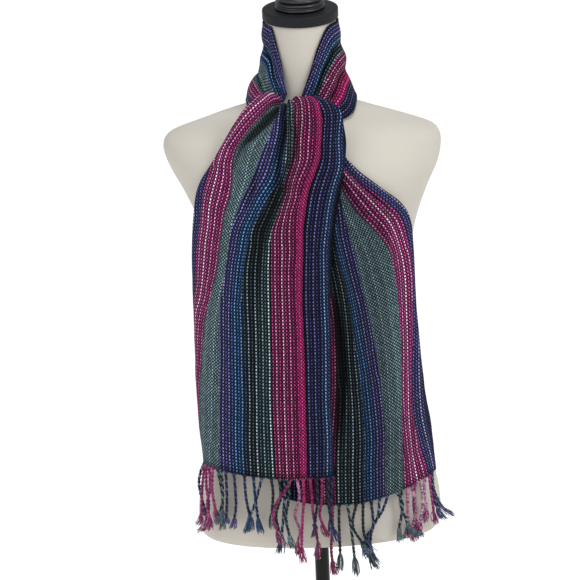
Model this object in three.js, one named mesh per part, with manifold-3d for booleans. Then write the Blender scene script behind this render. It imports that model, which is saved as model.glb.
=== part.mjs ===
// A handwoven alpaca scarf tied over itself at the throat, on a tabletop dress form.
// Millimetres, +Z up. The form faces -Y and the origin is under the middle of its base.

import * as THREE from 'three';
import { mergeVertices } from 'three/addons/utils/BufferGeometryUtils.js';
import Module from 'manifold-3d';

const wasm = await Module();
wasm.setup();

// ---------------------------------------------------------------- driving dimensions

const clothThickness = 1.8; // woven cloth with its nap
const seamGap = 0.3; // between one stretch of cloth and the next

const baseRadius = 150;
const baseHeight = 26;
const poleRadius = 10;
const poleTop = 263; // underside of the torso

const neckLean = 12.5; // degrees, the neck's top tips forward
const neckTop = 972; // underside of the cap, on the neck's axis
const neckTopForward = 15; // the neck's axis lies this far forward up there
const neckRadius = 47.5;
const capRadius = 51;
const capHeight = 13.5;

const chestHalf = 185; // half width of the curve on which both tails hang

// A table's rows are written bare and read by the names of their columns.
function named(columns, rows) {
  return rows.map((row) => Object.fromEntries(columns.map((column, i) => [column, row[i]])));
}

const fringe = {
  gap: 0.5, // below the cloth's edge
  stripDrop: 4,
  strandRadius: 1.7,
  tuftRadius: 2.7,
  middle: 0.4, // shares of the length of a strand
  tuftStart: 0.84,
};

// Level sections of the torso and neck, from the underside to the cap. "square" is the
// exponent of the section: 2 is an ellipse, and less than 2 is sharper at the shoulders.
// "tilt" and "shift" are how far one shoulder stands below the other and to one side.
const torsoColumns = ['height', 'half', 'front', 'back', 'axis', 'lean', 'square', 'tilt', 'shift'];
const torsoSections = named(torsoColumns, [
  [poleTop, 160, 104, 102, 0, 0, 2.1, 0, 0],
  [268, 165, 109, 107, 0, 0, 2.1, 0, 0],
  [295, 168, 112, 113, 0, 0, 2.1, 0, 0],
  [340, 162, 111, 116, 0, 0, 2.1, 0, 0],
  [390, 147, 105, 110, 0, 0, 2.1, 0, 0],
  [440, 128, 96, 92, 0, 0, 2.1, 0, 0],
  [490, 117, 91, 78, 0, 0, 2.1, 0, 0],
  [540, 117, 95, 76, 0, 0, 2.1, 0, 0],
  [600, 126, 109, 83, 0, 0, 2.2, 0, 0],
  [650, 136, 119, 91, 0, 0, 2.3, 0, 0],
  [700, 148, 115, 97, 0, 0, 2.3, 0, 0],
  [740, 164, 104, 97, 0, 0, 2.3, -0.006, -1],
  [775, 181, 92, 91, 0, 0, 2.5, -0.012, -2.5],
  [798, 187.5, 83, 82, 0, 0, 2.5, -0.012, -4],
  [814, 186, 75, 75, 0, 0, 2.4, -0.012, -4],
  [826, 176, 68, 69, 0, 0, 2, -0.012, -4],
  [840, 137, 60, 62, 1, 0, 1.5, -0.015, -3],
  [852, 96, 55, 58, 2, 0, 1.5, -0.02, -2],
  [862, 63, 52, 54, 3, 1, 1.7, -0.015, -1],
  [875, 53, 50, 51, 2, 2, 1.9, 0, 0],
  [895, 48.5, 48, 48.5, -1, 4, 2, 0, 0],
  [930, neckRadius, neckRadius, neckRadius, -8, 8, 2, 0, 0],
  [neckTop - seamGap, neckRadius, neckRadius, neckRadius, -neckTopForward, neckLean, 2, 0, 0],
]);

// The loop round the neck. Turns are degrees about the neck, 0 at the front and growing
// towards +X. Each row joins the upper edge of the cloth to its lower edge.
const loopColumns = ['at', 'upperTurn', 'upperHeight', 'lowerTurn', 'lowerHeight'];
const leftCollarRows = named(loopColumns, [
  [0, -110, 970, -110, 870],
  [0.25, -86, 968, -93, 866],
  [0.5, -62, 965, -76, 860],
  [0.68, -48, 958, -62, 853],
  [0.85, -33, 918, -46, 848],
  [1, -21, 874, -30, 846],
]);
const rightCollarRows = named(loopColumns, [
  [0, -3, 871, 27, 838],
  [0.16, 11, 904, 38, 839],
  [0.32, 25, 936, 50, 844],
  [0.5, 44, 960, 66, 856],
  [0.75, 76, 967, 88, 865],
  [1, 110, 970, 110, 870],
]);
const napeRows = named(loopColumns, [
  [0, 110, 970, 110, 870],
  [0.5, 180, 977, 180, 872],
  [1, 250, 970, 250, 870],
]);
const gathers = { count: 3, height: 2.2 }; // lengthwise pleats of the bunched loop

// How far the loop stands from the neck's axis at each height, at the throat, on its two
// sides and behind.
const loopReach = named(['height', 'throat', 'left', 'right', 'behind'], [
  [826, 82, 95, 99, 82],
  [846, 71, 85, 84, 74],
  [860, 64, 80, 75, 67],
  [875, 58, 75, 67, 62],
  [894, 54.5, 65, 59.5, 58],
  [912, 53, 55, 58, 55],
  [943, 52, 51.5, 52.5, 53],
  [978, 50.5, 50.5, 50.5, 52],
]);
const loopAxis = {
  y: 3, // at the shoulders
  leanFrom: 872, // height above which it leans back with the neck
  lowest: -30, // mm below that height where the lean stops
  slope: 0.183,
};
const throatTurns = [10, 58]; // degrees from the front, over which a side takes over
const napeTurns = [85, 145];

// Front tail: each row runs from its left edge to its right edge. "reach" is how far the
// middle of the chest curve stands forward, and "curl" is the width turned back at the left.
// "rollX" and "rollZ" move the row most at rollShare of its width, where the cloth turns
// under as it comes out of the throat.
const tailColumns = ['at', 'leftX', 'leftZ', 'rightX', 'rightZ', 'reach', 'curl', 'sag', 'rollX', 'rollZ'];
const frontTailRows = named(tailColumns, [
  [0, -28, 868, 0, 860, 65, 0, 0, -11, -4],
  [0.02, -36, 876, 6, 871, 69, 0, 0, -13, -12],
  [0.045, -48, 879, 19, 871, 78, 0, -2, -16, -17],
  [0.08, -64, 874, 36, 865, 89, 0, -3, -20, -20],
  [0.12, -80, 859, 48, 850, 97, 0, -2, -24, -17],
  [0.16, -94, 840, 51, 832, 101, 0, 0, -29, -12],
  [0.2, -108, 818, 53, 812, 105, 0, 1, -32, -6],
  [0.25, -124, 792, 50, 784, 111, 0, 3, -25, 0],
  [0.33, -146, 757, 43, 748, 121, 0, 5, -12, 0],
  [0.41, -154, 716, 34, 706, 132, 2, 6, -14, 0],
  [0.5, -158, 666, 27, 655, 136, 5, 7, -14, 0],
  [0.65, -160, 583, 22, 572, 136, 11, 7, -6, 0],
  [0.85, -161, 467, 19, 459, 136, 20, 6, 0, 0],
  [1, -156, 382, 21, 374, 136, 26, 6, 0, 0],
]);
const curlRadius = 8;
const rollShare = 0.3;

// Folds that run down a tail, each with its place and width as shares of the tail's width
// and its height. A trough has a negative height.
const foldColumns = ['down', 'across', 'width', 'height'];
const frontTailFolds = {
  pinkRoll: named(foldColumns, [
    [0, 0.15, 0.1, 0],
    [0.03, 0.15, 0.1, 5],
    [0.08, 0.15, 0.1, 8],
    [0.16, 0.15, 0.1, 8],
    [0.22, 0.16, 0.1, 6],
    [0.33, 0.18, 0.1, 4],
    [1, 0.1, 0.1, 0.5],
  ]),
  underRoll: named(foldColumns, [
    [0, 0.36, 0.06, 0],
    [0.03, 0.37, 0.06, -6],
    [0.08, 0.38, 0.07, -9],
    [0.12, 0.375, 0.07, -9],
    [0.16, 0.355, 0.06, -8],
    [0.25, 0.315, 0.045, -4],
    [0.33, 0.305, 0.04, -2],
    [1, 0.3, 0.04, 0],
  ]),
  fanRoll: named(foldColumns, [
    [0, 0.42, 0.06, 0],
    [0.2, 0.4, 0.06, 3],
    [0.33, 0.35, 0.06, 3],
    [0.5, 0.29, 0.06, 3],
    [0.65, 0.18, 0.06, 3],
    [1, 0.14, 0.08, 1],
  ]),
  throatValley: named(foldColumns, [
    [0, 0.5, 0.05, 0],
    [0.05, 0.47, 0.05, -4],
    [0.08, 0.47, 0.05, -7],
    [0.12, 0.53, 0.055, -9],
    [0.2, 0.6, 0.055, -9],
    [0.3, 0.59, 0.055, -7],
    [0.41, 0.51, 0.06, -5],
    [0.6, 0.47, 0.07, -1.5],
    [1, 0.46, 0.08, -0.5],
  ]),
  magentaRoll: named(foldColumns, [
    [0, 0.72, 0.08, 0],
    [0.03, 0.72, 0.1, 4],
    [0.12, 0.742, 0.095, 8],
    [0.25, 0.755, 0.08, 8],
    [0.41, 0.71, 0.09, 6],
    [0.75, 0.69, 0.12, 2.5],
    [1, 0.69, 0.12, 1.5],
  ]),
  rightRoll: named(foldColumns, [
    [0, 0.9, 0.05, 0],
    [0.12, 0.9, 0.055, 4.5],
    [0.4, 0.91, 0.06, 5.5],
    [0.7, 0.93, 0.07, 4.5],
    [1, 0.93, 0.08, 3],
  ]),
};

// Under tail: each row runs from its hidden inner edge to its outer edge.
const underTailRows = named(tailColumns, [
  [0, 8, 800, 42, 803, 91, 0, 0, 0, 0],
  [0.06, -2, 772, 66, 775, 100.9, 0, 0, 0, 0],
  [0.13, -12, 742, 97, 749, 111.8, 0, 2, 0, 0],
  [0.2, -22, 712, 122, 728, 118.3, 0, 5, 0, 0],
  [0.27, -32, 680, 135, 704, 123.8, 0, 8, 0, 0],
  [0.36, -40, 638, 138, 662, 126.4, 0, 11, 0, 0],
  [0.5, -46, 572, 139, 592, 127, 0, 15, 0, 0],
  [0.74, -51, 460, 146, 478, 127, 0, 20, 0, 0],
  [0.87, -53, 400, 154, 418, 127, 0, 22, 0, 0],
  [1, -55, 345, 159, 360, 127, 0, 21, 0, 0],
]);
const underTailFolds = {
  pocket: named(foldColumns, [
    [0, 0.3, 0.05, 0],
    [0.24, 0.3, 0.06, -3.5],
    [0.4, 0.4, 0.055, -5],
    [0.5, 0.43, 0.055, -8],
    [0.7, 0.43, 0.06, -8],
    [1, 0.38, 0.08, -2],
  ]),
  crest: named(foldColumns, [
    [0, 0.36, 0.04, 0],
    [0.15, 0.36, 0.04, 2],
    [0.24, 0.38, 0.045, 5],
    [0.32, 0.425, 0.045, 7],
    [0.48, 0.515, 0.045, 8],
    [0.7, 0.52, 0.05, 5],
    [1, 0.47, 0.07, 1.5],
  ]),
  tealTrough: named(foldColumns, [
    [0, 0.55, 0.045, 0],
    [0.2, 0.6, 0.045, -3],
    [0.5, 0.68, 0.05, -2],
    [1, 0.68, 0.05, -0.5],
  ]),
  pinkRoll: named(foldColumns, [
    [0, 0.7, 0.06, 0],
    [0.2, 0.74, 0.06, 5],
    [0.5, 0.84, 0.06, 2.5],
    [1, 0.84, 0.06, 1],
  ]),
};

// The crossing under the flipped tail: level sections of one rounded bundle of cloth.
const crossingSections = named(['height', 'centre', 'half', 'front', 'back'], [
  [807, 14, 16, 103.8, 81.9],
  [812, 13, 24, 106.3, 76.4],
  [824, 10, 29, 105.8, 68.9],
  [836, 5, 28, 101.8, 64.4],
  [846, -2, 22, 96.3, 61.9],
  [854, -6, 13, 87.8, 63.4],
]);

// Strands: x of the root, how far sideways the tip hangs, and the length with its tuft.
const strandColumns = ['x', 'lean', 'length'];
const frontStrands = named(strandColumns, [
  [-154, -3, 80], [-148, -4, 92], [-143, 2, 78], [-137, -2, 80], [-132, -1, 84],
  [-126, -2, 76], [-115, -3, 80], [-101, 4, 80], [-89, 5, 82], [-77, -18, 78],
  [-65, -1, 72], [-54, -2, 94], [-46, -9, 102], [-41, -2, 98], [-36, -20, 90],
  [-30, -3, 106], [-22, -7, 100], [-13, 7, 112], [-4, -6, 84], [3, 0, 84],
  [11, 6, 92], [17, -5, 78],
]);
const underStrands = named(strandColumns, [
  [16, -3, 98], [25, -2, 94], [36, 7, 100], [48, 9, 72], [57, 12, 96], [68, -10, 82],
  [80, -17, 80], [92, -25, 94], [103, 2, 72], [111, 10, 70], [118, -2, 72],
  [124, 0, 80], [131, 1, 78], [137, -4, 80], [143, -1, 66], [148, 5, 72], [153, 12, 62],
]);

// ---------------------------------------------------------------- materials

function finish(colour, roughness, metalness = 0) {
  return new THREE.MeshStandardMaterial({ color: colour, roughness, metalness });
}

const linen = finish('#d8d0c3', 0.9);
const mattePlastic = finish('#26272a', 0.65);
const glossLacquer = finish('#101114', 0.2);
const powderCoat = finish('#17181a', 0.45);
const alpaca = finish('#3a3560', 0.95);
const alpacaPink = finish('#a52a6a', 0.95);
const alpacaTeal = finish('#2f5f60', 0.95);
const alpacaFringe = finish('#35305c', 0.95);

// ---------------------------------------------------------------- helpers

const radians = THREE.MathUtils.degToRad;

// Reads a table at any value of its key column, on a smooth curve through its rows.
function readTable(rows, key, value) {
  const found = rows.findIndex((row) => row[key] >= value);
  const upper = found < 0 ? rows.length - 1 : Math.max(found, 1);
  const start = rows[upper - 1];
  const end = rows[upper];
  const before = rows[Math.max(upper - 2, 0)];
  const after = rows[Math.min(upper + 1, rows.length - 1)];
  const span = end[key] - start[key];
  const t = THREE.MathUtils.clamp((value - start[key]) / span, 0, 1);
  const result = {};
  for (const column of Object.keys(start)) {
    const startSlope = (end[column] - before[column]) / (end[key] - before[key]);
    const endSlope = (after[column] - start[column]) / (after[key] - start[key]);
    const rise = end[column] - start[column];
    const bend = t * (1 - t);
    result[column] = start[column] + rise * t * t * (3 - 2 * t)
      + span * bend * ((1 - t) * startSlope - t * endSlope);
  }
  return result;
}

function geometryFrom(points, triangles) {
  const geometry = new THREE.BufferGeometry();
  geometry.setAttribute('position', new THREE.Float32BufferAttribute(points.flat(), 3));
  geometry.setIndex(triangles.flat());
  return geometry;
}

// Closes a stack of rings, each a list of points in the same sense, into one body.
// Rings run anticlockwise seen from above and are listed from the bottom up.
function closedStack(rings) {
  const sides = rings[0].length;
  const points = rings.flat();
  const triangles = [];
  for (let level = 0; level < rings.length - 1; level += 1) {
    for (let side = 0; side < sides; side += 1) {
      const a = level * sides + side;
      const b = level * sides + (side + 1) % sides;
      triangles.push([a, b, b + sides], [a, b + sides, a + sides]);
    }
  }
  const middle = (ring) => [0, 1, 2].map((axis) => ring.reduce((sum, p) => sum + p[axis], 0) / sides);
  const bottom = points.push(middle(rings[0])) - 1;
  const top = points.push(middle(rings[rings.length - 1])) - 1;
  const lastRing = (rings.length - 1) * sides;
  for (let side = 0; side < sides; side += 1) {
    const next = (side + 1) % sides;
    triangles.push([bottom, next, side], [top, lastRing + side, lastRing + next]);
  }
  return geometryFrom(points, triangles);
}

// Direction straight out of a cloth surface, away from the wearer.
function outwardAt(surface, u, v) {
  const step = 0.002;
  const u0 = Math.max(u - step, 0);
  const u1 = Math.min(u + step, 1);
  const v0 = Math.max(v - step, 0);
  const v1 = Math.min(v + step, 1);
  const across = surface(u1, v).sub(surface(u0, v));
  const down = surface(u, v1).sub(surface(u, v0));
  return down.cross(across).normalize();
}

// A cloth wall on surface(u, v), with u across and v down. fold(u, v) lifts it outwards.
// Both faces are moved along the unfolded surface's own direction, so they never cross.
function clothWall(surface, fold, thickness, columns, rows) {
  const outer = [];
  const inner = [];
  for (let row = 0; row <= rows; row += 1) {
    for (let column = 0; column <= columns; column += 1) {
      const u = column / columns;
      const v = row / rows;
      const outward = outwardAt(surface, u, v);
      const face = surface(u, v).addScaledVector(outward, fold(u, v));
      outer.push(face.toArray());
      inner.push(face.clone().addScaledVector(outward, -thickness).toArray());
    }
  }
  const count = outer.length;
  const width = columns + 1;
  const triangles = [];
  for (let row = 0; row < rows; row += 1) {
    for (let column = 0; column < columns; column += 1) {
      const a = row * width + column;
      const b = a + 1;
      const c = a + width;
      const d = c + 1;
      triangles.push([a, c, d], [a, d, b]);
      triangles.push([count + a, count + d, count + c], [count + a, count + b, count + d]);
    }
  }
  const rim = [];
  for (let column = 0; column < columns; column += 1) rim.push(column);
  for (let row = 0; row < rows; row += 1) rim.push(row * width + columns);
  for (let column = columns; column > 0; column -= 1) rim.push(rows * width + column);
  for (let row = rows; row > 0; row -= 1) rim.push(row * width);
  for (let i = 0; i < rim.length; i += 1) {
    const a = rim[i];
    const b = rim[(i + 1) % rim.length];
    triangles.push([a, b, count + b], [a, count + b, count + a]);
  }
  return geometryFrom([...outer, ...inner], triangles);
}

// A solid of revolution about Z, from radius and height pairs that start and end on the axis.
function turned(profile, sides) {
  const points = profile.map(([radius, height]) => new THREE.Vector2(radius, height));
  const geometry = new THREE.LatheGeometry(points, sides);
  geometry.rotateX(Math.PI / 2);
  return geometry;
}

function toManifold(geometry) {
  const bare = geometry.clone();
  bare.deleteAttribute('normal');
  bare.deleteAttribute('uv');
  const merged = mergeVertices(bare, 1e-4);
  return new wasm.Manifold(new wasm.Mesh({
    numProp: 3,
    vertProperties: Float32Array.from(merged.attributes.position.array),
    triVerts: Uint32Array.from(merged.index.array),
  }));
}

function fromManifold(solid) {
  const mesh = solid.getMesh();
  const geometry = new THREE.BufferGeometry();
  geometry.setAttribute('position', new THREE.BufferAttribute(mesh.vertProperties, 3));
  geometry.setIndex(new THREE.BufferAttribute(mesh.triVerts, 1));
  return geometry;
}

const group = new THREE.Group();

function add(name, geometry, material, parent = group) {
  const mesh = new THREE.Mesh(geometry, material);
  mesh.name = name;
  parent.add(mesh);
  return mesh;
}

// ---------------------------------------------------------------- dress form

function torsoRing(height, sides) {
  const section = readTable(torsoSections, 'height', height);
  const ring = [];
  for (let side = 0; side < sides; side += 1) {
    const angle = (side / sides) * 2 * Math.PI;
    const sine = Math.sin(angle);
    const cosine = Math.cos(angle);
    const power = 2 / section.square;
    const depth = cosine > 0 ? section.front : section.back;
    const x = section.half * Math.sign(sine) * Math.abs(sine) ** power;
    const y = -depth * Math.sign(cosine) * Math.abs(cosine) ** power;
    const z = section.height + y * Math.tan(radians(section.lean)) + x * section.tilt;
    ring.push([x + section.shift, section.axis + y, z]);
  }
  return ring;
}

const widestLevel = 45; // mm between two rings of the torso

function formTorso() {
  const sides = 32;
  const heights = torsoSections.flatMap((section, i) => {
    const next = torsoSections[i + 1];
    const wide = next && next.height - section.height > widestLevel;
    return wide ? [section.height, (section.height + next.height) / 2] : [section.height];
  });
  return closedStack(heights.map((height) => torsoRing(height, sides)));
}

const capProfile = [
  [0, 0],
  [capRadius - 1.2, 0],
  [capRadius, 1.2],
  [capRadius, capHeight - 1.8],
  [capRadius - 1.8, capHeight],
  [0, capHeight],
];

// Turned knob: three stacked rings, a waist, a bead and a ball.
const finialRings = named(['radius', 'bottom', 'top'], [
  [33.5, 0, 5],
  [33, 6.5, 11],
  [31.5, 12.5, 17],
]);
const finialWaist = [[28, 18.5], [20, 24], [14.5, 32], [13, 38], [17, 40], [17, 44], [13, 46]];
const finialBall = { radius: 21, centre: 63, lowest: -50, step: 17.5, steps: 8 };

function finialProfile() {
  const profile = [[0, 0]];
  for (const ring of finialRings) {
    profile.push([ring.radius - 1, ring.bottom]);
    profile.push([ring.radius, (ring.bottom + ring.top) / 2]);
    profile.push([ring.radius - 1, ring.top]);
  }
  profile.push(...finialWaist);
  for (let step = 1; step < finialBall.steps; step += 1) {
    const angle = radians(finialBall.lowest + step * finialBall.step);
    const height = finialBall.centre + finialBall.radius * Math.sin(angle);
    profile.push([finialBall.radius * Math.cos(angle), height]);
  }
  profile.push([0, finialBall.centre + finialBall.radius]);
  return profile;
}

const baseProfile = [
  [0, 0],
  [baseRadius - 2, 0],
  [baseRadius, 2],
  [baseRadius, 8],
  [baseRadius - 3, 11],
  [34, 14],
  [22, 17],
  [16, baseHeight - 2],
  [14, baseHeight],
  [0, baseHeight],
];

const poleProfile = [
  [0, baseHeight + seamGap],
  [poleRadius, baseHeight + seamGap],
  [poleRadius, poleTop - seamGap],
  [0, poleTop - seamGap],
];

add('form_torso', formTorso(), linen);
add('form_pole', turned(poleProfile, 24), powderCoat);
add('form_base', turned(baseProfile, 40), powderCoat);

const head = new THREE.Group();
head.position.set(0, -neckTopForward, neckTop);
head.rotation.x = radians(neckLean);
group.add(head);
add('neck_cap', turned(capProfile, 36), mattePlastic, head);
const finial = add('cap_finial', turned(finialProfile(), 24), glossLacquer, head);
finial.position.z = capHeight + seamGap;

// ---------------------------------------------------------------- loop round the neck

function loopPoint(turn, height, side) {
  const reach = readTable(loopReach, 'height', height);
  const fromFront = Math.abs(turn > 180 ? 360 - turn : turn);
  const beside = THREE.MathUtils.smoothstep(fromFront, ...throatTurns);
  const behind = THREE.MathUtils.smoothstep(fromFront, ...napeTurns);
  const forward = THREE.MathUtils.lerp(reach.throat, reach[side], beside);
  const radius = THREE.MathUtils.lerp(forward, reach.behind, behind);
  const above = Math.max(height - loopAxis.leanFrom, loopAxis.lowest);
  const axisY = loopAxis.y - loopAxis.slope * above;
  const angle = radians(turn);
  return new THREE.Vector3(radius * Math.sin(angle), axisY - radius * Math.cos(angle), height);
}

// A stretch of the loop between two fractions of its rows.
function loopStretch(rows, sideAt, from, to) {
  return (u, v) => {
    const row = readTable(rows, 'at', from + (to - from) * u);
    const turn = THREE.MathUtils.lerp(row.upperTurn, row.lowerTurn, v);
    const height = THREE.MathUtils.lerp(row.upperHeight, row.lowerHeight, v);
    return loopPoint(turn, height, sideAt(u));
  };
}

// Lengthwise gathers of the loop: the cloth is bunched to less than half its width.
function loopGathers(u, v) {
  const edges = Math.sin(Math.PI * v) ** 0.5;
  return gathers.height * edges * (0.5 - 0.5 * Math.cos(2 * Math.PI * gathers.count * v));
}

const stretchLength = 130; // along the loop
const stretchEnd = seamGap / stretchLength; // where a stretch stops short of the next one
const leftLoop = loopStretch(leftCollarRows, () => 'left', stretchEnd, 1);
const rightLoop = loopStretch(rightCollarRows, () => 'right', 0, 1 - stretchEnd);
const napeSide = (u) => (u < 0.5 ? 'right' : 'left');
const napeLoop = loopStretch(napeRows, napeSide, stretchEnd, 1 - stretchEnd);

add('scarf_collar_left', clothWall(leftLoop, loopGathers, clothThickness, 10, 12), alpacaTeal);
add('scarf_collar_right', clothWall(rightLoop, loopGathers, clothThickness, 10, 12), alpacaPink);
add('scarf_nape', clothWall(napeLoop, loopGathers, clothThickness, 12, 12), alpaca);

// ---------------------------------------------------------------- crossing

function crossingBundle() {
  const sides = 16;
  return closedStack(crossingSections.map((section) => {
    const ring = [];
    const middle = -(section.front + section.back) / 2;
    const depth = (section.front - section.back) / 2;
    for (let side = 0; side < sides; side += 1) {
      const angle = (side / sides) * 2 * Math.PI;
      const x = section.centre + section.half * Math.sin(angle);
      ring.push([x, middle - depth * Math.cos(angle), section.height]);
    }
    return ring;
  }));
}

add('scarf_crossing', crossingBundle(), alpaca);

// ---------------------------------------------------------------- tails

// How far the turned edge reaches past the flat of a tail.
function curlReach(row) {
  return curlRadius * Math.sin(Math.min(row.curl / curlRadius, Math.PI / 2));
}

// A tail hangs on a curve round the chest. Its left edge may be turned back on itself.
function tailSurface(rows) {
  return (u, v) => {
    const row = readTable(rows, 'at', v);
    const turnReach = curlReach(row);
    const width = row.rightX - row.leftX - turnReach + row.curl;
    const distance = u * width;
    const turnedBack = Math.max(row.curl - distance, 0);
    const flat = Math.max(distance - row.curl, 0);
    const angle = turnedBack / curlRadius;
    const x = row.leftX + turnReach + flat - curlRadius * Math.sin(Math.min(angle, Math.PI));
    const share = THREE.MathUtils.clamp((x - row.leftX) / (row.rightX - row.leftX), 0, 1);
    const level = THREE.MathUtils.lerp(row.leftZ, row.rightZ, share);
    const tent = Math.min(share / rollShare, (1 - share) / (1 - rollShare));
    const rolledX = x + row.rollX * tent;
    const z = level - 4 * row.sag * share * (1 - share) + row.rollZ * tent;
    const y = -row.reach * Math.sqrt(1 - (rolledX / chestHalf) ** 2);
    const back = curlRadius * (1 - Math.cos(Math.min(angle, Math.PI)));
    return new THREE.Vector3(rolledX, y + back, z);
  };
}

function foldHeight(folds) {
  return (u, v) => {
    let height = 0;
    for (const rows of Object.values(folds)) {
      const fold = readTable(rows, 'down', v);
      const offset = (u - fold.across) / fold.width;
      height += fold.height * Math.exp(-offset * offset);
    }
    return height;
  };
}

const frontTail = tailSurface(frontTailRows);
const frontFolds = foldHeight(frontTailFolds);
const underTail = tailSurface(underTailRows);
const underFolds = foldHeight(underTailFolds);

add('scarf_front_tail', clothWall(frontTail, frontFolds, clothThickness, 34, 34), alpacaPink);
add('scarf_under_tail', clothWall(underTail, underFolds, clothThickness, 26, 20), alpacaTeal);

// ---------------------------------------------------------------- fringes

// Four-sided strand down a list of points, with a radius at each.
function strandGeometry(path) {
  const rings = [...path].reverse().map(({ x, y, z, radius }) => [
    [x, y - radius, z],
    [x + radius, y, z],
    [x, y + radius, z],
    [x - radius, y, z],
  ]);
  return closedStack(rings);
}

// The hem's own strip, parted from the cloth, with its strands fused to it.
function hemFringe(surface, rows, folds, columns, strands) {
  const hemRow = rows[rows.length - 1];
  const drop = (u, v) => {
    const hem = surface(u, 1);
    hem.z -= fringe.gap + v * fringe.stripDrop;
    return hem;
  };
  const hemFold = (u) => folds(u, 1);
  const flatWidth = hemRow.rightX - hemRow.leftX - curlReach(hemRow) + hemRow.curl;
  let solid = toManifold(clothWall(drop, hemFold, clothThickness, columns, 1));
  for (const strand of strands) {
    const distance = strand.x - hemRow.leftX - curlReach(hemRow) + hemRow.curl;
    const u = THREE.MathUtils.clamp(distance / flatWidth, 0, 1);
    const outward = outwardAt(drop, u, 0.5);
    const root = drop(u, 0.5).addScaledVector(outward, hemFold(u) - clothThickness / 2);
    const path = [0, fringe.middle, fringe.tuftStart, 1].map((t) => ({
      x: root.x + strand.lean * t,
      y: root.y,
      z: root.z - strand.length * t,
      radius: t < fringe.tuftStart ? fringe.strandRadius : fringe.tuftRadius,
    }));
    solid = solid.add(toManifold(strandGeometry(path)));
  }
  return fromManifold(solid);
}

add('front_fringe', hemFringe(frontTail, frontTailRows, frontFolds, 34, frontStrands), alpacaFringe);
add('under_fringe', hemFringe(underTail, underTailRows, underFolds, 26, underStrands), alpacaFringe);

export default group;
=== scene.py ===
import math
import random
from functools import lru_cache

import bmesh
import bpy
from mathutils import Matrix, Vector, noise


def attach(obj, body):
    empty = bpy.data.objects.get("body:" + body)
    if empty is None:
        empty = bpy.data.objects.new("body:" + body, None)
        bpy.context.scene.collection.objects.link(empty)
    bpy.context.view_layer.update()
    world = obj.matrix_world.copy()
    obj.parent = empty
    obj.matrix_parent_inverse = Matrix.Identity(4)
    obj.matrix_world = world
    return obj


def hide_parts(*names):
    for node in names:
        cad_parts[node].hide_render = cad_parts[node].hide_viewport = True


# Striped alpaca scarf, tied over itself on a linen dress form. Metres, +Z up, front towards -Y.

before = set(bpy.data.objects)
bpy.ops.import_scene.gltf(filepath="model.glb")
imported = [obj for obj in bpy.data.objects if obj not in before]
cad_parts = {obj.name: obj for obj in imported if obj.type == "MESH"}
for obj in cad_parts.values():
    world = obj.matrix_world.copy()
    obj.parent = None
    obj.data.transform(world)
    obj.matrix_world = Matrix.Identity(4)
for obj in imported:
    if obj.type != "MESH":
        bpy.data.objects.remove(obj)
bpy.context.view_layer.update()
random.seed(7)
print("frame loaded,", len(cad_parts), "nodes")

mm = 0.001


# ---- camera

cameraValues = {
    "target": (-0.029, 0.0, 0.600),
    "distance": 3.4,
    "elevation": 10.0,  # degrees above level
    "roll": 2.4,  # the form leans a little to the left at its top
    "lens": 154.05,  # on a 36 mm sensor
}


def makeCamera(values):
    elevation = math.radians(values["elevation"])
    roll = math.radians(values["roll"])
    target = Vector(values["target"])
    back = Vector((0, -math.cos(elevation), math.sin(elevation)))
    levelRight = Vector((1, 0, 0))
    levelUp = back.cross(levelRight)
    right = levelRight * math.cos(roll) - levelUp * math.sin(roll)
    up = levelRight * math.sin(roll) + levelUp * math.cos(roll)
    data = bpy.data.cameras.new("studioCamera")
    data.lens = values["lens"]
    data.sensor_width = 36
    data.clip_end = 60
    camera = bpy.data.objects.new("studioCamera", data)
    camera.matrix_world = Matrix.Translation(target + back * values["distance"]) @ Matrix(
        (right, up, back)
    ).transposed().to_4x4()
    bpy.context.scene.collection.objects.link(camera)
    bpy.context.scene.camera = camera


makeCamera(cameraValues)


# ---- small tools

def linear(hexColour):
    channels = [int(hexColour[i:i + 2], 16) / 255 for i in (1, 3, 5)]
    made = [c / 12.92 if c <= 0.04045 else ((c + 0.055) / 1.055) ** 2.4 for c in channels]
    return (*made, 1.0)


def mix(a, b, share):
    return a + (b - a) * share


def smoothStep(value, low, high):
    t = min(max((value - low) / (high - low), 0.0), 1.0)
    return t * t * (3 - 2 * t)


# A table is a tuple of column names and rows of numbers. It is read on a smooth curve through its rows.
@lru_cache(maxsize=None)
def readTable(table, value):
    names, rows = table
    upper = next((i for i, row in enumerate(rows) if row[0] >= value), len(rows) - 1)
    upper = max(upper, 1)
    start, end = rows[upper - 1], rows[upper]
    before, after = rows[max(upper - 2, 0)], rows[min(upper + 1, len(rows) - 1)]
    span = end[0] - start[0]
    t = min(max((value - start[0]) / span, 0.0), 1.0)
    found = {}
    for i, name in enumerate(names):
        startSlope = (end[i] - before[i]) / (end[0] - before[0])
        endSlope = (after[i] - start[i]) / (after[0] - start[0])
        bend = t * (1 - t) * span * ((1 - t) * startSlope - t * endSlope)
        found[name] = start[i] + (end[i] - start[i]) * t * t * (3 - 2 * t) + bend
    return found


def outwardAt(surface, u, v):
    step = 0.002
    across = surface(min(u + step, 1), v) - surface(max(u - step, 0), v)
    down = surface(u, min(v + step, 1)) - surface(u, max(v - step, 0))
    return down.cross(across).normalized()


def newObject(name, mesh, material):
    data = bpy.data.meshes.new(name)
    mesh.to_mesh(data)
    mesh.free()
    for polygon in data.polygons:
        polygon.use_smooth = True
    data.materials.append(material)
    made = bpy.data.objects.new(name, data)
    bpy.context.scene.collection.objects.link(made)
    return made


# Nothing on a dressed form moves by itself, so every piece rides on the one body.
def declare(made, replaced):
    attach(made, "root")
    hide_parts(replaced)
    return made


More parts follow.
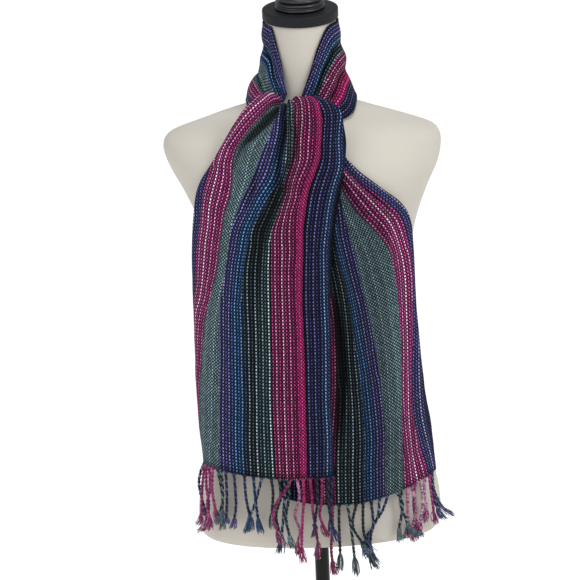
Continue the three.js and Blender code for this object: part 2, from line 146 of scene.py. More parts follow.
# Adds a grid of columns by rows to a mesh and moves its corners to points[row][column]. "maps" is
# each corner's flat place, and a wrapped grid closes into a tube.
def addGrid(mesh, points, maps, wrapped=False, paintedShades=None):
    rows, columns = len(points) - 1, len(points[0]) - 1
    uvLayer = mesh.loops.layers.uv.get("clothMap") or mesh.loops.layers.uv.new("clothMap")
    shadeLayer = mesh.verts.layers.float.get("paintedShade") or mesh.verts.layers.float.new("paintedShade")
    made = bmesh.ops.create_grid(mesh, x_segments=columns, y_segments=rows, size=0.5)["verts"]
    places = {}
    for vertex in made:
        column = round((vertex.co.x + 0.5) * columns)
        row = round((0.5 - vertex.co.y) * rows)
        places[vertex] = (row, column)
    faces = {face for vertex in made for face in vertex.link_faces}
    for face in faces:
        for loop in face.loops:
            row, column = places[loop.vert]
            loop[uvLayer].uv = maps[row][column]
    for vertex, (row, column) in places.items():
        vertex.co = points[row][column]
        if paintedShades:
            vertex[shadeLayer] = paintedShades[row][column]
    if wrapped:
        bmesh.ops.remove_doubles(mesh, verts=made, dist=1e-7)


# ---- studio

studio = {
    "paper": "#f6f5f3",
    "paperGlow": (0.42, 0.62),  # near the form and far away, where the paper has lamps of its own
    "glowReach": (1.2, 4.0),  # metres
    "radius": 30.0,
    "world": 0.5,
    "lamps": {
        "key": {"place": (2.1, -1.9, 2.5), "size": 1.1, "power": 39},
        "fill": {"place": (-2.3, -2.4, 1.5), "size": 2.4, "power": 23},
        "top": {"place": (0.2, -0.7, 2.8), "size": 1.6, "power": 22},
    },
}


def addNode(tree, kind, inputs=None, **settings):
    made = tree.nodes.new(kind)
    for name, value in settings.items():
        setattr(made, name, value)
    for socket, value in (inputs or {}).items():
        if isinstance(value, bpy.types.NodeSocket):
            tree.links.new(value, made.inputs[socket])
        else:
            made.inputs[socket].default_value = value
    return made


def newMaterial(name):
    material = bpy.data.materials.new(name)
    material.use_nodes = True
    tree = material.node_tree
    tree.nodes.clear()
    return material, tree


def makeStudio(values):
    # pure white paper and deep blacks need the plain view, not a film-like one
    bpy.context.scene.view_settings.view_transform = "Standard"
    world = bpy.data.worlds.new("studioWorld")
    world.use_nodes = True
    backdrop = world.node_tree.nodes["Background"]
    backdrop.inputs["Color"].default_value = linear("#fdfdff")
    backdrop.inputs["Strength"].default_value = values["world"]
    bpy.context.scene.world = world
    for name, lampValues in values["lamps"].items():
        lamp = bpy.data.lights.new(name + "Light", "AREA")
        lamp.size = lampValues["size"]
        lamp.energy = lampValues["power"]
        holder = bpy.data.objects.new(name + "Light", lamp)
        place = Vector(lampValues["place"])
        holder.location = place
        holder.rotation_euler = (Vector((0, 0, 0.7)) - place).to_track_quat("-Z", "Y").to_euler()
        bpy.context.scene.collection.objects.link(holder)

    mesh = bmesh.new()
    bmesh.ops.create_circle(mesh, cap_ends=True, segments=96, radius=values["radius"])
    material, tree = newMaterial("mattPaper")  # seamless paper: even, bright and without gloss
    place = addNode(tree, "ShaderNodeTexCoord").outputs["Object"]
    cloudy = addNode(tree, "ShaderNodeTexNoise", {"Vector": place, "Scale": 1.5, "Detail": 2.0})
    ramp = addNode(tree, "ShaderNodeValToRGB", {"Fac": cloudy.outputs["Fac"]})
    ramp.color_ramp.elements[0].color = linear("#f1f0ee")
    ramp.color_ramp.elements[1].color = linear(values["paper"])
    reach = addNode(tree, "ShaderNodeVectorMath", {0: place}, operation="LENGTH")
    glow = addNode(tree, "ShaderNodeMapRange", {
        "Value": reach.outputs["Value"],
        "From Min": values["glowReach"][0], "From Max": values["glowReach"][1],
        "To Min": values["paperGlow"][0], "To Max": values["paperGlow"][1],
    })
    shader = addNode(tree, "ShaderNodeBsdfPrincipled", {
        "Base Color": ramp.outputs["Color"], "Roughness": 0.95, "Specular IOR Level": 0.1,
        "Emission Color": linear("#ffffff"), "Emission Strength": glow.outputs["Result"],
    })
    addNode(tree, "ShaderNodeOutputMaterial", {"Surface": shader.outputs["BSDF"]})
    newObject("paperFloor", mesh, material)


makeStudio(studio)
print("studio ready")


# ---- stripes and weave

# The warp, counted in ends from the outer selvedge. "yarns" is what the floats show, "grounds"
# is the shade between them, and "evenEnds" is how bright every second end is.
grounds = [
    (0, "#05060f"), (9, "#1c0210"), (25, "#060e11"), (45, "#060512"), (53, "#040814"),
    (61, "#020405"), (77, "#12010a"), (91, "#300519"), (95, "#030305"), (96, "#03030a"),
    (105, "#040812"), (111, "#020305"),
]
evenEnds = [
    (0, 0.3), (9, 0.35), (25, 0.8), (45, 0.2), (61, 0.12), (77, 0.25), (91, 0.55), (95, 0.3), (96, 0.15),
    (105, 0.3), (111, 0.3),
]
yarns = [
    (0, "#5c5e9c"), (3, "#a0a4c8"), (4, "#5f619e"), (9, "#cc509c"), (11, "#eda2d0"), (12, "#cc509c"),
    (15, "#fbd3ea"), (16, "#cc529e"), (19, "#f0a8d2"), (20, "#ca509c"), (23, "#e49ac6"), (24, "#a06490"),
    (25, "#7e9aa2"), (31, "#8ca6ac"), (32, "#7d98a0"), (37, "#8aa4aa"), (38, "#7b969e"), (45, "#6462a6"),
    (47, "#8f8dcc"), (48, "#6462a6"), (51, "#8a8ec8"), (52, "#5a5e9e"), (53, "#4070aa"), (55, "#6f9bd0"),
    (56, "#3e6ea8"), (59, "#6890c2"), (60, "#2e5386"),
]
innerYarns = [
    (61, "#3c4e5a"), (63, "#8299ac"), (64, "#3a4c58"), (67, "#a6bac6"), (68, "#3a4c58"), (69, "#4e6a74"),
    (71, "#84a2ac"), (72, "#4e6a74"), (75, "#b0c8cc"), (76, "#242c30"), (77, "#ac3a78"), (79, "#e08cbc"),
    (80, "#ac3c78"), (83, "#fbc8e4"), (84, "#ac3c78"), (87, "#dc86b8"), (88, "#aa3876"), (91, "#d03e88"),
    (95, "#101018"), (96, "#3c3f72"), (97, "#6a70ac"), (98, "#3c3f72"), (101, "#666ca8"), (102, "#3a3e70"),
    (105, "#3b517e"), (107, "#7a91bc"), (108, "#3b517e"), (111, "#10131e"),
]

weave = {
    "ends": 113,
    "endPitch": 2.3,  # mm from one warp end to the next
    "pickPitch": 2.3,  # mm from one weft pick to the next
    "middle": 61,  # the end where the second list of yarns takes over
    "floatHalfWidth": 0.42,  # of an end
    "floatHalfLength": 0.36,  # of two picks
    "endTones": (0.52, 0.92),  # dullest and brightest end
    "floatTones": 0.55,  # how much one float differs from the next
    "paintedShadeStrength": 0.95,  # painted shade: share of the colour taken away at the bottom of a deep fold
}


# A ramp with one step for each stop (end number, colour or share).
def stripeRamp(tree, across, stops):
    ramp = addNode(tree, "ShaderNodeValToRGB", {"Fac": across})
    ramp.color_ramp.interpolation = "CONSTANT"
    elements = ramp.color_ramp.elements
    while len(elements) > 1:
        elements.remove(elements[-1])
    for index, (end, shade) in enumerate(stops):
        element = elements.new(end / weave["ends"]) if index else elements[0]
        element.color = linear(shade) if isinstance(shade, str) else (shade, shade, shade, 1.0)
    elements[0].position = 0
    return ramp.outputs["Color"]


# The shade of the yarns at a place across the cloth. One ramp is too short for all of them.
def yarnColour(tree, across):
    outer = stripeRamp(tree, across, yarns)
    inner = stripeRamp(tree, across, innerYarns)
    past = addNode(tree, "ShaderNodeMath", {0: across, 1: weave["middle"] / weave["ends"]},
                   operation="GREATER_THAN").outputs[0]
    return addNode(tree, "ShaderNodeMix", {0: past, 6: outer, 7: inner}, data_type="RGBA").outputs[2]


# Alpaca in a plain weave: matt, soft to the eye, with a faint halo of nap. Warp floats stand
# as light ovals on a dark weft, half a step apart from one end to the next.
def alpacaWeave(values):
    material, tree = newMaterial("alpacaPlainWeave")
    width = values["ends"] * values["endPitch"]
    uv = addNode(tree, "ShaderNodeUVMap", uv_map="clothMap").outputs["UV"]
    split = addNode(tree, "ShaderNodeSeparateXYZ", {"Vector": uv})
    across = addNode(tree, "ShaderNodeMath", {0: split.outputs["X"], 1: 1000 / width},
                     operation="MULTIPLY").outputs[0]

    # number of the warp end, and the place within it
    endPlace = addNode(tree, "ShaderNodeMath", {0: split.outputs["X"], 1: 1000 / values["endPitch"]},
                       operation="MULTIPLY").outputs[0]
    endIndex = addNode(tree, "ShaderNodeMath", {0: endPlace}, operation="FLOOR").outputs[0]
    endShare = addNode(tree, "ShaderNodeMath", {0: endPlace}, operation="FRACT").outputs[0]
    oddEnd = addNode(tree, "ShaderNodeMath", {0: endIndex, 1: 2.0}, operation="MODULO").outputs[0]

    # number of the float along that end, and the place within it
    pickPlace = addNode(tree, "ShaderNodeMath", {0: split.outputs["Y"], 1: 500 / values["pickPitch"]},
                        operation="MULTIPLY").outputs[0]
    floatPlace = addNode(tree, "ShaderNodeMath", {0: oddEnd, 1: 0.5, 2: pickPlace},
                         operation="MULTIPLY_ADD").outputs[0]
    floatIndex = addNode(tree, "ShaderNodeMath", {0: floatPlace}, operation="FLOOR").outputs[0]
    floatShare = addNode(tree, "ShaderNodeMath", {0: floatPlace}, operation="FRACT").outputs[0]

    # an oval in the middle of each float
    fromMiddle = addNode(tree, "ShaderNodeCombineXYZ", {"X": endShare, "Y": floatShare})
    centred = addNode(tree, "ShaderNodeVectorMath", {0: fromMiddle.outputs[0], 1: (0.5, 0.5, 0.0)},
                      operation="SUBTRACT")
    rounded = addNode(tree, "ShaderNodeVectorMath", {
        0: centred.outputs[0],
        1: (1 / values["floatHalfWidth"], 1 / values["floatHalfLength"], 0.0),
    }, operation="MULTIPLY")
    reach = addNode(tree, "ShaderNodeVectorMath", {0: rounded.outputs[0]}, operation="LENGTH")
    oval = addNode(tree, "ShaderNodeMapRange", {
        "Value": reach.outputs["Value"], "From Min": 1.1, "From Max": 0.65,
    }, interpolation_type="SMOOTHSTEP").outputs["Result"]

    # no two ends or floats are spun quite alike
    place = addNode(tree, "ShaderNodeCombineXYZ", {"X": endIndex, "Y": floatIndex})
    perFloat = addNode(tree, "ShaderNodeTexWhiteNoise", {"Vector": place.outputs[0]},
                       noise_dimensions="2D").outputs["Value"]
    perEnd = addNode(tree, "ShaderNodeTexWhiteNoise", {"W": endIndex},
                     noise_dimensions="1D").outputs["Value"]
    endTone = addNode(tree, "ShaderNodeMapRange", {
        "Value": perEnd, "To Min": values["endTones"][0], "To Max": values["endTones"][1],
    }).outputs["Result"]
    brightness = addNode(tree, "ShaderNodeMath", {0: perFloat, 1: values["floatTones"], 2: endTone},
                         operation="MULTIPLY_ADD").outputs[0]
    secondEnd = addNode(tree, "ShaderNodeMix", {
        0: oddEnd, 2: stripeRamp(tree, across, evenEnds), 3: 1.0}, data_type="FLOAT").outputs[0]
    value = addNode(tree, "ShaderNodeMath", {0: brightness, 1: secondEnd},
                    operation="MULTIPLY").outputs[0]

    lit = addNode(tree, "ShaderNodeHueSaturation", {
        "Color": yarnColour(tree, across), "Value": value})
    colour = addNode(tree, "ShaderNodeMix", {
        0: oval, 6: stripeRamp(tree, across, grounds), 7: lit.outputs["Color"],
    }, data_type="RGBA")
    # painted shade: the colour darkens by the shade painted on the mesh, in folds, under the front tail,
    # along the loops' edges and towards the hem
    pocket = addNode(tree, "ShaderNodeAttribute", attribute_name="paintedShade")
    kept = addNode(tree, "ShaderNodeMath", {0: pocket.outputs["Fac"], 1: -values["paintedShadeStrength"], 2: 1.0},
                   operation="MULTIPLY_ADD").outputs[0]
    shaded = addNode(tree, "ShaderNodeHueSaturation", {"Color": colour.outputs[2], "Value": kept})

    fibre = addNode(tree, "ShaderNodeTexNoise", {"Vector": uv, "Scale": 1900.0, "Detail": 2.0})
    height = addNode(tree, "ShaderNodeMath", {0: fibre.outputs["Fac"], 1: 0.25, 2: oval},
                     operation="MULTIPLY_ADD").outputs[0]
    bump = addNode(tree, "ShaderNodeBump", {"Height": height, "Strength": 0.55, "Distance": 0.0007})
    shader = addNode(tree, "ShaderNodeBsdfPrincipled", {
        "Base Color": shaded.outputs["Color"],
        "Roughness": 0.88,
        "Specular IOR Level": 0.1,
        "Sheen Weight": 0.02,
        "Sheen Roughness": 0.45,
        "Normal": bump.outputs["Normal"],
    })
    addNode(tree, "ShaderNodeOutputMaterial", {"Surface": shader.outputs["BSDF"]})
    return material


# The same yarns where they hang free: two plies twisted hard, so the light catches each turn.
def alpacaYarn(values):
    material, tree = newMaterial("alpacaTwistedYarn")
    width = values["ends"] * values["endPitch"]
    uv = addNode(tree, "ShaderNodeUVMap", uv_map="clothMap").outputs["UV"]
    split = addNode(tree, "ShaderNodeSeparateXYZ", {"Vector": uv})
    across = addNode(tree, "ShaderNodeMath", {0: split.outputs["X"], 1: 1000 / width},
                     operation="MULTIPLY").outputs[0]
    fibre = addNode(tree, "ShaderNodeTexNoise", {"Vector": uv, "Scale": 420.0, "Detail": 3.0})
    share = addNode(tree, "ShaderNodeMapRange", {
        "Value": fibre.outputs["Fac"], "From Min": 0.38, "From Max": 0.68, "To Min": 0.1, "To Max": 0.8,
    })
    colour = addNode(tree, "ShaderNodeMix", {
        0: share.outputs["Result"],
        6: stripeRamp(tree, across, grounds),
        7: yarnColour(tree, across),
    }, data_type="RGBA")
    bump = addNode(tree, "ShaderNodeBump", {
        "Height": fibre.outputs["Fac"], "Strength": 0.5, "Distance": 0.0005})
    shader = addNode(tree, "ShaderNodeBsdfPrincipled", {
        "Base Color": colour.outputs[2],
        "Roughness": 0.8,
        "Specular IOR Level": 0.25,
        "Sheen Weight": 0.08,
        "Sheen Roughness": 0.4,
        "Normal": bump.outputs["Normal"],
    })
    addNode(tree, "ShaderNodeOutputMaterial", {"Surface": shader.outputs["BSDF"]})
    return material


weaveMaterial = alpacaWeave(weave)
yarnMaterial = alpacaYarn(weave)
print("weave ready")


# ---- how the stripes lie on a stretch

# Distance along each row of points, and up each column from the hem.
def rowLengths(points):
    lengths = []
    for row in points:
        total = [0.0]
        for a, b in zip(row, row[1:]):
            total.append(total[-1] + (b - a).length)
        lengths.append(total)
    return lengths


def columnLengths(points):
    rows = len(points)
    lengths = [[0.0] * len(points[0]) for _ in range(rows)]
    for row in range(rows - 2, -1, -1):
        for column in range(len(points[0])):
            step = (points[row][column] - points[row + 1][column]).length
            lengths[row][column] = lengths[row + 1][column] + step
    return lengths


# Reads the cloth's flat place from knots (place, flat place). Past both ends it runs on at the
# yarns' own pitch. Where more cloth is gathered than shows, the yarns keep their pitch in the
# middle of a stripe and the rest goes into a pleat at its edges.
def throughKnots(knots, place, sense):
    if place <= knots[0][0]:
        return knots[0][1] - sense * (knots[0][0] - place)
    for (a, flatA), (b, flatB) in zip(knots, knots[1:]):
        if place <= b:
            span, flatSpan = max(b - a, 1e-9), abs(flatB - flatA)
            if flatSpan < span * 1.12:  # hardly gathered, so the yarns just lie a little closer
                return mix(flatA, flatB, (place - a) / span)
            return (flatA + flatB) / 2 + math.copysign(1, flatB - flatA) * (place - (a + b) / 2)
    return knots[-1][1] + sense * (place - knots[-1][0])


# Flat place of every point of a tail. stripeTable gives where each stripe starts, as x in mm
# on the tail's form before its folds.
def tailMaps(points, plain, stripeTable, starts, sense, rowShare):
    across = rowLengths(points)
    along = columnLengths(points)
    names = stripeTable[0][1:]
    maps = []
    for row, line in enumerate(points):
        wanted = readTable(stripeTable, min(rowShare(row), 1.0))
        x = plain[row]
        first = x.index(min(x))
        knots = []
        for name in names:
            place = wanted[name]
            for i in range(first, len(line) - 1):
                if x[i] <= place < x[i + 1]:
                    share = (place - x[i]) / (x[i + 1] - x[i])
                    knots.append((mix(across[row][i], across[row][i + 1], share), starts[name] * mm))
                    break
        maps.append([
            (throughKnots(knots, across[row][i], sense), along[row][i]) for i in range(len(line))
        ])
    return maps


# ---- tails

chestHalf = 185.0  # mm, half the width of the chest that the tails bend round
curlRadius = 8.0  # mm, where the front tail's left edge turns back
rollShare = 0.3  # of the front tail's width, taken by its left roll
shell = {
    "thickness": 1.3,
    "hemDrop": 4.3,  # mm of cloth below the last pick of the solid
    "hemShade": (0.99, 1.0),  # share of the tail's length over which the hem darkens
    "hemDepth": 0.5,
    "pocket": (1.0, 6.5),  # mm below the cloth's own face where a fold's painted shade starts and ends
    "overhang": (0.74, 0.88),  # share of the width over which the painted shadow of the upper tail ends
    "lumps": ((34, 0.7, 0), (13, 0.25, 5)),  # size and height in mm, and seed
}

# A tail's form, in mm: where both edges lie at a share of its length, how far its middle stands
# out, how much of its left edge turns back, how far the row sags, and its dip beside the roll.
frontTail = (
    ("at", "leftX", "leftZ", "rightX", "rightZ", "reach", "curl", "sag", "rollX", "rollZ"),
    (
        (0.0, -28, 868, 0, 860, 65, 0, 0, -11, -4),
        (0.02, -36, 876, 6, 871, 69, 0, 0, -13, -12),
        (0.045, -48, 879, 19, 871, 78, 0, -2, -16, -17),
        (0.08, -64, 874, 36, 865, 89, 0, -3, -20, -20),
        (0.12, -80, 859, 48, 850, 97, 0, -2, -24, -17),
        (0.16, -94, 840, 51, 832, 101, 0, 0, -29, -12),
        (0.2, -108, 818, 53, 812, 105, 0, 1, -32, -6),
        (0.25, -124, 792, 50, 784, 111, 0, 3, -25, 0),
        (0.33, -146, 757, 43, 748, 121, 0, 5, -12, 0),
        (0.41, -154, 716, 34, 706, 132, 2, 6, -14, 0),
        (0.5, -158, 666, 27, 655, 136, 5, 7, -14, 0),
        (0.65, -160, 583, 22, 572, 136, 11, 7, -6, 0),
        (0.85, -161, 467, 19, 459, 136, 20, 6, 0, 0),
        (1.0, -156, 382, 21, 374, 136, 26, 6, 0, 0),
    ),
)
underTail = (
    ("at", "leftX", "leftZ", "rightX", "rightZ", "reach", "curl", "sag"),
    (
        (0.0, 8, 800, 42, 803, 91, 0, 0),
        (0.06, -2, 772, 66, 775, 100.9, 0, 0),
        (0.13, -12, 742, 97, 749, 111.8, 0, 2),
        (0.2, -22, 712, 122, 728, 118.3, 0, 5),
        (0.27, -32, 680, 135, 704, 123.8, 0, 8),
        (0.36, -40, 638, 138, 662, 126.4, 0, 11),
        (0.5, -46, 572, 139, 592, 127, 0, 15),
        (0.74, -51, 460, 146, 478, 127, 0, 20),
        (0.87, -53, 400, 154, 418, 127, 0, 22),
        (1.0, -55, 345, 159, 360, 127, 0, 21),
    ),
)

# Soft folds that run down a tail, each with its place and width as shares of the tail's width
# and its height in mm. A trough is below nought.
def foldTable(*rows):
    return ("down", "across", "width", "height"), rows


frontFolds = {
    "pinkRoll": foldTable(
        (0, 0.15, 0.1, 0), (0.03, 0.15, 0.1, 6), (0.08, 0.15, 0.1, 10), (0.16, 0.15, 0.1, 10),
        (0.22, 0.16, 0.1, 7), (0.33, 0.18, 0.1, 4), (0.6, 0.12, 0.1, 1.5), (1, 0.1, 0.1, 0.5)),
    "underRoll": foldTable(
        (0, 0.36, 0.05, 0), (0.03, 0.37, 0.05, -8), (0.08, 0.38, 0.06, -13), (0.12, 0.375, 0.06, -12),
        (0.16, 0.355, 0.05, -9), (0.2, 0.33, 0.04, -6), (0.25, 0.315, 0.03, -4.5),
        (0.33, 0.305, 0.03, -2.5), (0.5, 0.3, 0.03, 0), (1, 0.3, 0.03, 0)),
    "fanRoll": foldTable(
        (0, 0.42, 0.05, 0), (0.14, 0.43, 0.04, 1), (0.2, 0.4, 0.06, 3.5), (0.25, 0.38, 0.06, 3.5),
        (0.33, 0.35, 0.05, 3), (0.41, 0.325, 0.05, 3), (0.5, 0.29, 0.05, 3), (0.65, 0.18, 0.06, 3),
        (0.85, 0.14, 0.06, 2), (1, 0.14, 0.08, 1)),
    "fanTrough": foldTable(
        (0, 0.46, 0.03, 0), (0.16, 0.47, 0.03, -2), (0.235, 0.47, 0.035, -3.8), (0.3, 0.44, 0.035, -3.8),
        (0.375, 0.39, 0.03, -3), (0.47, 0.35, 0.025, -2), (0.6, 0.28, 0.03, -1.5),
        (0.85, 0.2, 0.03, -1), (1, 0.2, 0.04, 0)),
    "throatValley": foldTable(
        (0, 0.5, 0.035, 0), (0.045, 0.51, 0.035, -5), (0.08, 0.518, 0.035, -8), (0.12, 0.54, 0.035, -9.5),
        (0.16, 0.579, 0.035, -9.5), (0.2, 0.586, 0.035, -8), (0.235, 0.582, 0.035, -6),
        (0.283, 0.589, 0.04, -6), (0.35, 0.578, 0.05, -7), (0.41, 0.538, 0.06, -7),
        (0.5, 0.517, 0.06, -5.5), (0.6, 0.49, 0.07, -3.5), (1, 0.46, 0.08, -0.5)),
    "forestRidge": foldTable(
        (0, 0.57, 0.025, 0), (0.045, 0.566, 0.025, 2.5), (0.08, 0.553, 0.025, 4), (0.12, 0.572, 0.025, 4.5),
        (0.16, 0.611, 0.025, 4.5), (0.2, 0.632, 0.025, 4), (0.235, 0.628, 0.025, 3),
        (0.28, 0.622, 0.025, 1.5), (0.33, 0.61, 0.03, 0), (1, 0.6, 0.03, 0)),
    "maroonTrough": foldTable(
        (0, 0.63, 0.025, 0), (0.045, 0.63, 0.025, -1.5), (0.08, 0.627, 0.025, -3),
        (0.12, 0.624, 0.025, -4.5), (0.16, 0.657, 0.025, -6), (0.2, 0.676, 0.025, -6.5),
        (0.25, 0.666, 0.03, -6.5), (0.3, 0.652, 0.03, -6), (0.35, 0.645, 0.03, -4),
        (0.41, 0.62, 0.03, -2), (0.5, 0.6, 0.03, 0),
        (1, 0.6, 0.03, 0)),
    "magentaRoll": foldTable(
        (0, 0.72, 0.08, 0), (0.03, 0.72, 0.1, 4), (0.08, 0.73, 0.1, 6.5), (0.12, 0.742, 0.095, 8),
        (0.2, 0.763, 0.085, 8), (0.25, 0.755, 0.08, 8), (0.33, 0.735, 0.08, 7), (0.41, 0.71, 0.09, 6),
        (0.5, 0.705, 0.1, 4.5), (0.75, 0.69, 0.12, 2.5), (1, 0.69, 0.12, 1.5)),
    "hotPinkTrough": foldTable(
        (0, 0.84, 0.02, 0), (0.12, 0.84, 0.02, -2.5), (0.2, 0.84, 0.02, -3.5), (0.25, 0.83, 0.02, -3.5),
        (0.33, 0.79, 0.02, -3), (0.41, 0.8, 0.02, -2.5), (0.5, 0.812, 0.02, -2), (0.75, 0.82, 0.02, -1.2),
        (1, 0.83, 0.02, -0.6)),
    "rightRoll": foldTable(
        (0, 0.9, 0.05, 0), (0.06, 0.9, 0.05, 2), (0.12, 0.9, 0.055, 4.5), (0.22, 0.9, 0.055, 5.5),
        (0.4, 0.91, 0.06, 5.5), (0.7, 0.93, 0.07, 4.5), (1, 0.93, 0.08, 3)),
}
underFolds = {
    "pocket": foldTable(
        (0, 0.3, 0.05, 0), (0.15, 0.28, 0.06, -2), (0.24, 0.3, 0.06, -3.5), (0.32, 0.34, 0.055, -4.5),
        (0.4, 0.4, 0.055, -5), (0.48, 0.43, 0.055, -7.5), (0.6, 0.45, 0.055, -9), (0.7, 0.43, 0.06, -8),
        (0.82, 0.4, 0.07, -5), (1, 0.38, 0.08, -2)),
    "crest": foldTable(
        (0, 0.36, 0.03, 0), (0.15, 0.36, 0.03, 3), (0.24, 0.38, 0.03, 7), (0.32, 0.425, 0.035, 9),
        (0.4, 0.485, 0.035, 9.5), (0.48, 0.515, 0.04, 8.5), (0.6, 0.535, 0.045, 7), (0.7, 0.52, 0.05, 5),
        (0.82, 0.49, 0.06, 3), (1, 0.47, 0.07, 1.5)),
    "tealTrough": foldTable(
        (0, 0.55, 0.03, 0), (0.1, 0.58, 0.035, -4), (0.2, 0.6, 0.04, -4), (0.32, 0.64, 0.04, -3),
        (0.5, 0.68, 0.05, -2), (0.8, 0.68, 0.05, -1.2), (1, 0.68, 0.05, -0.5)),
    "pinkRoll": foldTable(
        (0, 0.7, 0.05, 0), (0.08, 0.7, 0.06, 4), (0.2, 0.74, 0.06, 5), (0.32, 0.8, 0.06, 4),
        (0.5, 0.84, 0.06, 2.5), (0.8, 0.84, 0.06, 1.5), (1, 0.84, 0.06, 1)),
    "pinkTrough": foldTable(
        (0, 0.84, 0.025, 0), (0.08, 0.83, 0.025, -2.5), (0.2, 0.86, 0.025, -3), (0.32, 0.9, 0.025, -2),
        (0.5, 0.93, 0.03, -2.5), (0.7, 0.92, 0.03, -3.5), (0.85, 0.9, 0.035, -3.5), (1, 0.88, 0.035, -2)),
    "selvedgeRoll": foldTable(
        (0, 0.95, 0.03, 0), (0.15, 0.95, 0.03, 1.5), (0.5, 0.97, 0.03, 1), (0.8, 0.96, 0.04, 2.5),
        (1, 0.95, 0.05, 2)),
}


def tailSurface(table):
    def surface(u, v):
        row = readTable(table, v)
        turnReach = curlRadius * math.sin(min(row["curl"] / curlRadius, math.pi / 2))
        width = row["rightX"] - row["leftX"] - turnReach + row["curl"]
        distance = u * width
        turnedBack = max(row["curl"] - distance, 0)
        flat = max(distance - row["curl"], 0)
        angle = min(turnedBack / curlRadius, math.pi)
        x = row["leftX"] + turnReach + flat - curlRadius * math.sin(angle)
        share = min(max((x - row["leftX"]) / (row["rightX"] - row["leftX"]), 0), 1)
        z = mix(row["leftZ"], row["rightZ"], share) - 4 * row["sag"] * share * (1 - share)
        # the row dips under the roll at its left, where the cloth turns out of the throat
        tent = min(share / rollShare, (1 - share) / (1 - rollShare))
        x += row.get("rollX", 0) * tent
        z += row.get("rollZ", 0) * tent
        y = -row["reach"] * math.sqrt(1 - (x / chestHalf) ** 2)
        return Vector((x, y + curlRadius * (1 - math.cos(angle)), z))
    return surface


def foldHeight(folds, u, v):
    height = 0
    for fold in folds.values():
        row = readTable(fold, v)
        offset = (u - row["across"]) / row["width"]
        height += row["height"] * math.exp(-offset * offset)
    return height


# Creases: each runs from one point of the cloth to another, wide and deep in mm.
def creaseHeight(creases, u, v, width, length):
    height = 0
    for fromU, fromV, toU, toV, spread, depth in creases:
        ax, ay = fromU * width, fromV * length
        bx, by = toU * width, toV * length
        px, py = u * width, v * length
        dx, dy = bx - ax, by - ay
        t = ((px - ax) * dx + (py - ay) * dy) / (dx * dx + dy * dy)
        held = min(max(t, 0.0), 1.0)
        gap = math.hypot(px - ax - held * dx, py - ay - held * dy) / spread
        ends = math.sin(math.pi * min(max(t, 0.04), 0.96)) ** 0.5  # it dies out at both ends
        height += depth * ends * math.exp(-gap * gap)
    return height


def softLumps(place, size, lift, seed):
    return lift * noise.noise(place / size + Vector((seed, seed * 0.7, 0)))


# Painted shade from 0 to 1, for how far into a fold each point lies, kept on the mesh to darken the cloth's
# colour.
def paintedShade(lift):
    return smoothStep(-lift, *shell["pocket"])


def clothShell(name, points, maps, paintedShades, replaced):
    mesh = bmesh.new()
    addGrid(mesh, points, maps, paintedShades=paintedShades)
    made = newObject(name, mesh, weaveMaterial)
    wall = made.modifiers.new("wall", "SOLIDIFY")
    wall.thickness = shell["thickness"] * mm
    wall.offset = -1
    return declare(made, replaced)


def clothTail(name, values):
    surface = tailSurface(values["form"])
    middle = [surface(0.5, v / 40) for v in range(41)]
    length = sum((b - a).length for a, b in zip(middle, middle[1:]))
    width = (surface(1, 0.6) - surface(0, 0.6)).length  # well below the throat
    rows, columns, seed = values["rows"], values["columns"], values["seed"]
    hemShare = 1 - 1.0 / rows

    def rowShare(row):
        return min(row / rows / hemShare, 1.0)

    points, paintedShades, plain = [], [], []
    for row in range(rows + 1):
        v = rowShare(row)
        drop = shell["hemDrop"] if row == rows else 0
        line, shadeLine, plainLine = [], [], []
        for column in range(columns + 1):
            u = column / columns
            base = surface(u, v)
            plainLine.append(base.x)
            lift = foldHeight(values["folds"], u, v) + creaseHeight(values["creases"], u, v, width, length)
            # painted shade kept on the mesh: darker in the troughs, in the painted shadow under the front
            # tail, and towards the hem
            hem = smoothStep(v, *shell["hemShade"]) * shell["hemDepth"]
            overhung = values["overhung"] * (1 - smoothStep(u, *shell["overhang"]))
            shadeLine.append(max(paintedShade(lift) * values["foldShade"], hem, overhung))
            lift += sum(softLumps(base, size, high, seed + more) for size, high, more in shell["lumps"])
            point = base + outwardAt(surface, u, v) * lift
            point.z -= drop
            line.append(point * mm)
        points.append(line)
        plain.append(plainLine)
        paintedShades.append(shadeLine)
    maps = tailMaps(points, plain, values["stripes"], values["starts"], values["sense"], rowShare)
    return clothShell(name, points, maps, paintedShades, values["replaces"])


# Where each stripe starts, in mm of width from the outer selvedge.
stripeStarts = {
    "pink": 20, "teal": 58, "purple": 104, "forest": 140, "magenta": 178, "hotPink": 209,
    "midnight": 219, "azure": 242,
}

# Where each stripe of the front tail starts, x in mm from left to right.
frontStripes = (
    ("at", "pink", "teal", "purple", "forest", "magenta", "hotPink", "midnight", "azure"),
    (
        (0.0, -60, -30, -25, -22, -16, -7, -5, -1),
        (0.02, -70, -35, -27, -22, -16, -3, 0, 5),
        (0.045, -90, -43, -32, -25, -16, 5, 10, 18),
        (0.08, -100, -53, -36, -25, -14, 12, 19, 33),
        (0.12, -110, -65, -41, -25.5, -15.5, 14, 22, 42),
        (0.16, -116, -79, -46, -25.5, -16, 14, 22, 40),
        (0.2, -122, -91, -56, -27, -18, 12, 20, 38),
        (0.235, -124, -96, -64, -29, -20.5, 9, 17, 38),
        (0.265, -128, -98, -70, -31.5, -26, 3, 11, 36),
        (0.295, -133, -98, -76, -37, -31, -4, 5, 31),
        (0.333, -140, -101, -85, -51, -33.5, -10, -1, 25),
        (0.372, -143, -108, -94, -64, -41, -16, -5, 20),
        (0.415, -145, -113, -103, -78, -50, -18, -9, 16),
        (0.463, -150, -118, -108, -86, -51, -19, -10, 12),
        (0.51, -153, -122, -113, -91, -52, -22, -12, 11),
        (0.585, -156, -133, -121, -93, -53, -23, -14, 10),
        (0.66, -164, -143, -125, -93, -54, -23, -14, 10),
        (0.73, -172, -148, -127, -94, -55, -24, -14, 9),
        (0.825, -178, -154, -130, -95, -57, -25, -15, 7),
        (0.92, -184, -157, -132, -98, -57, -26, -16, 7),
        (1.0, -188, -159, -133, -98, -57, -26, -17, 5),
    ),
)

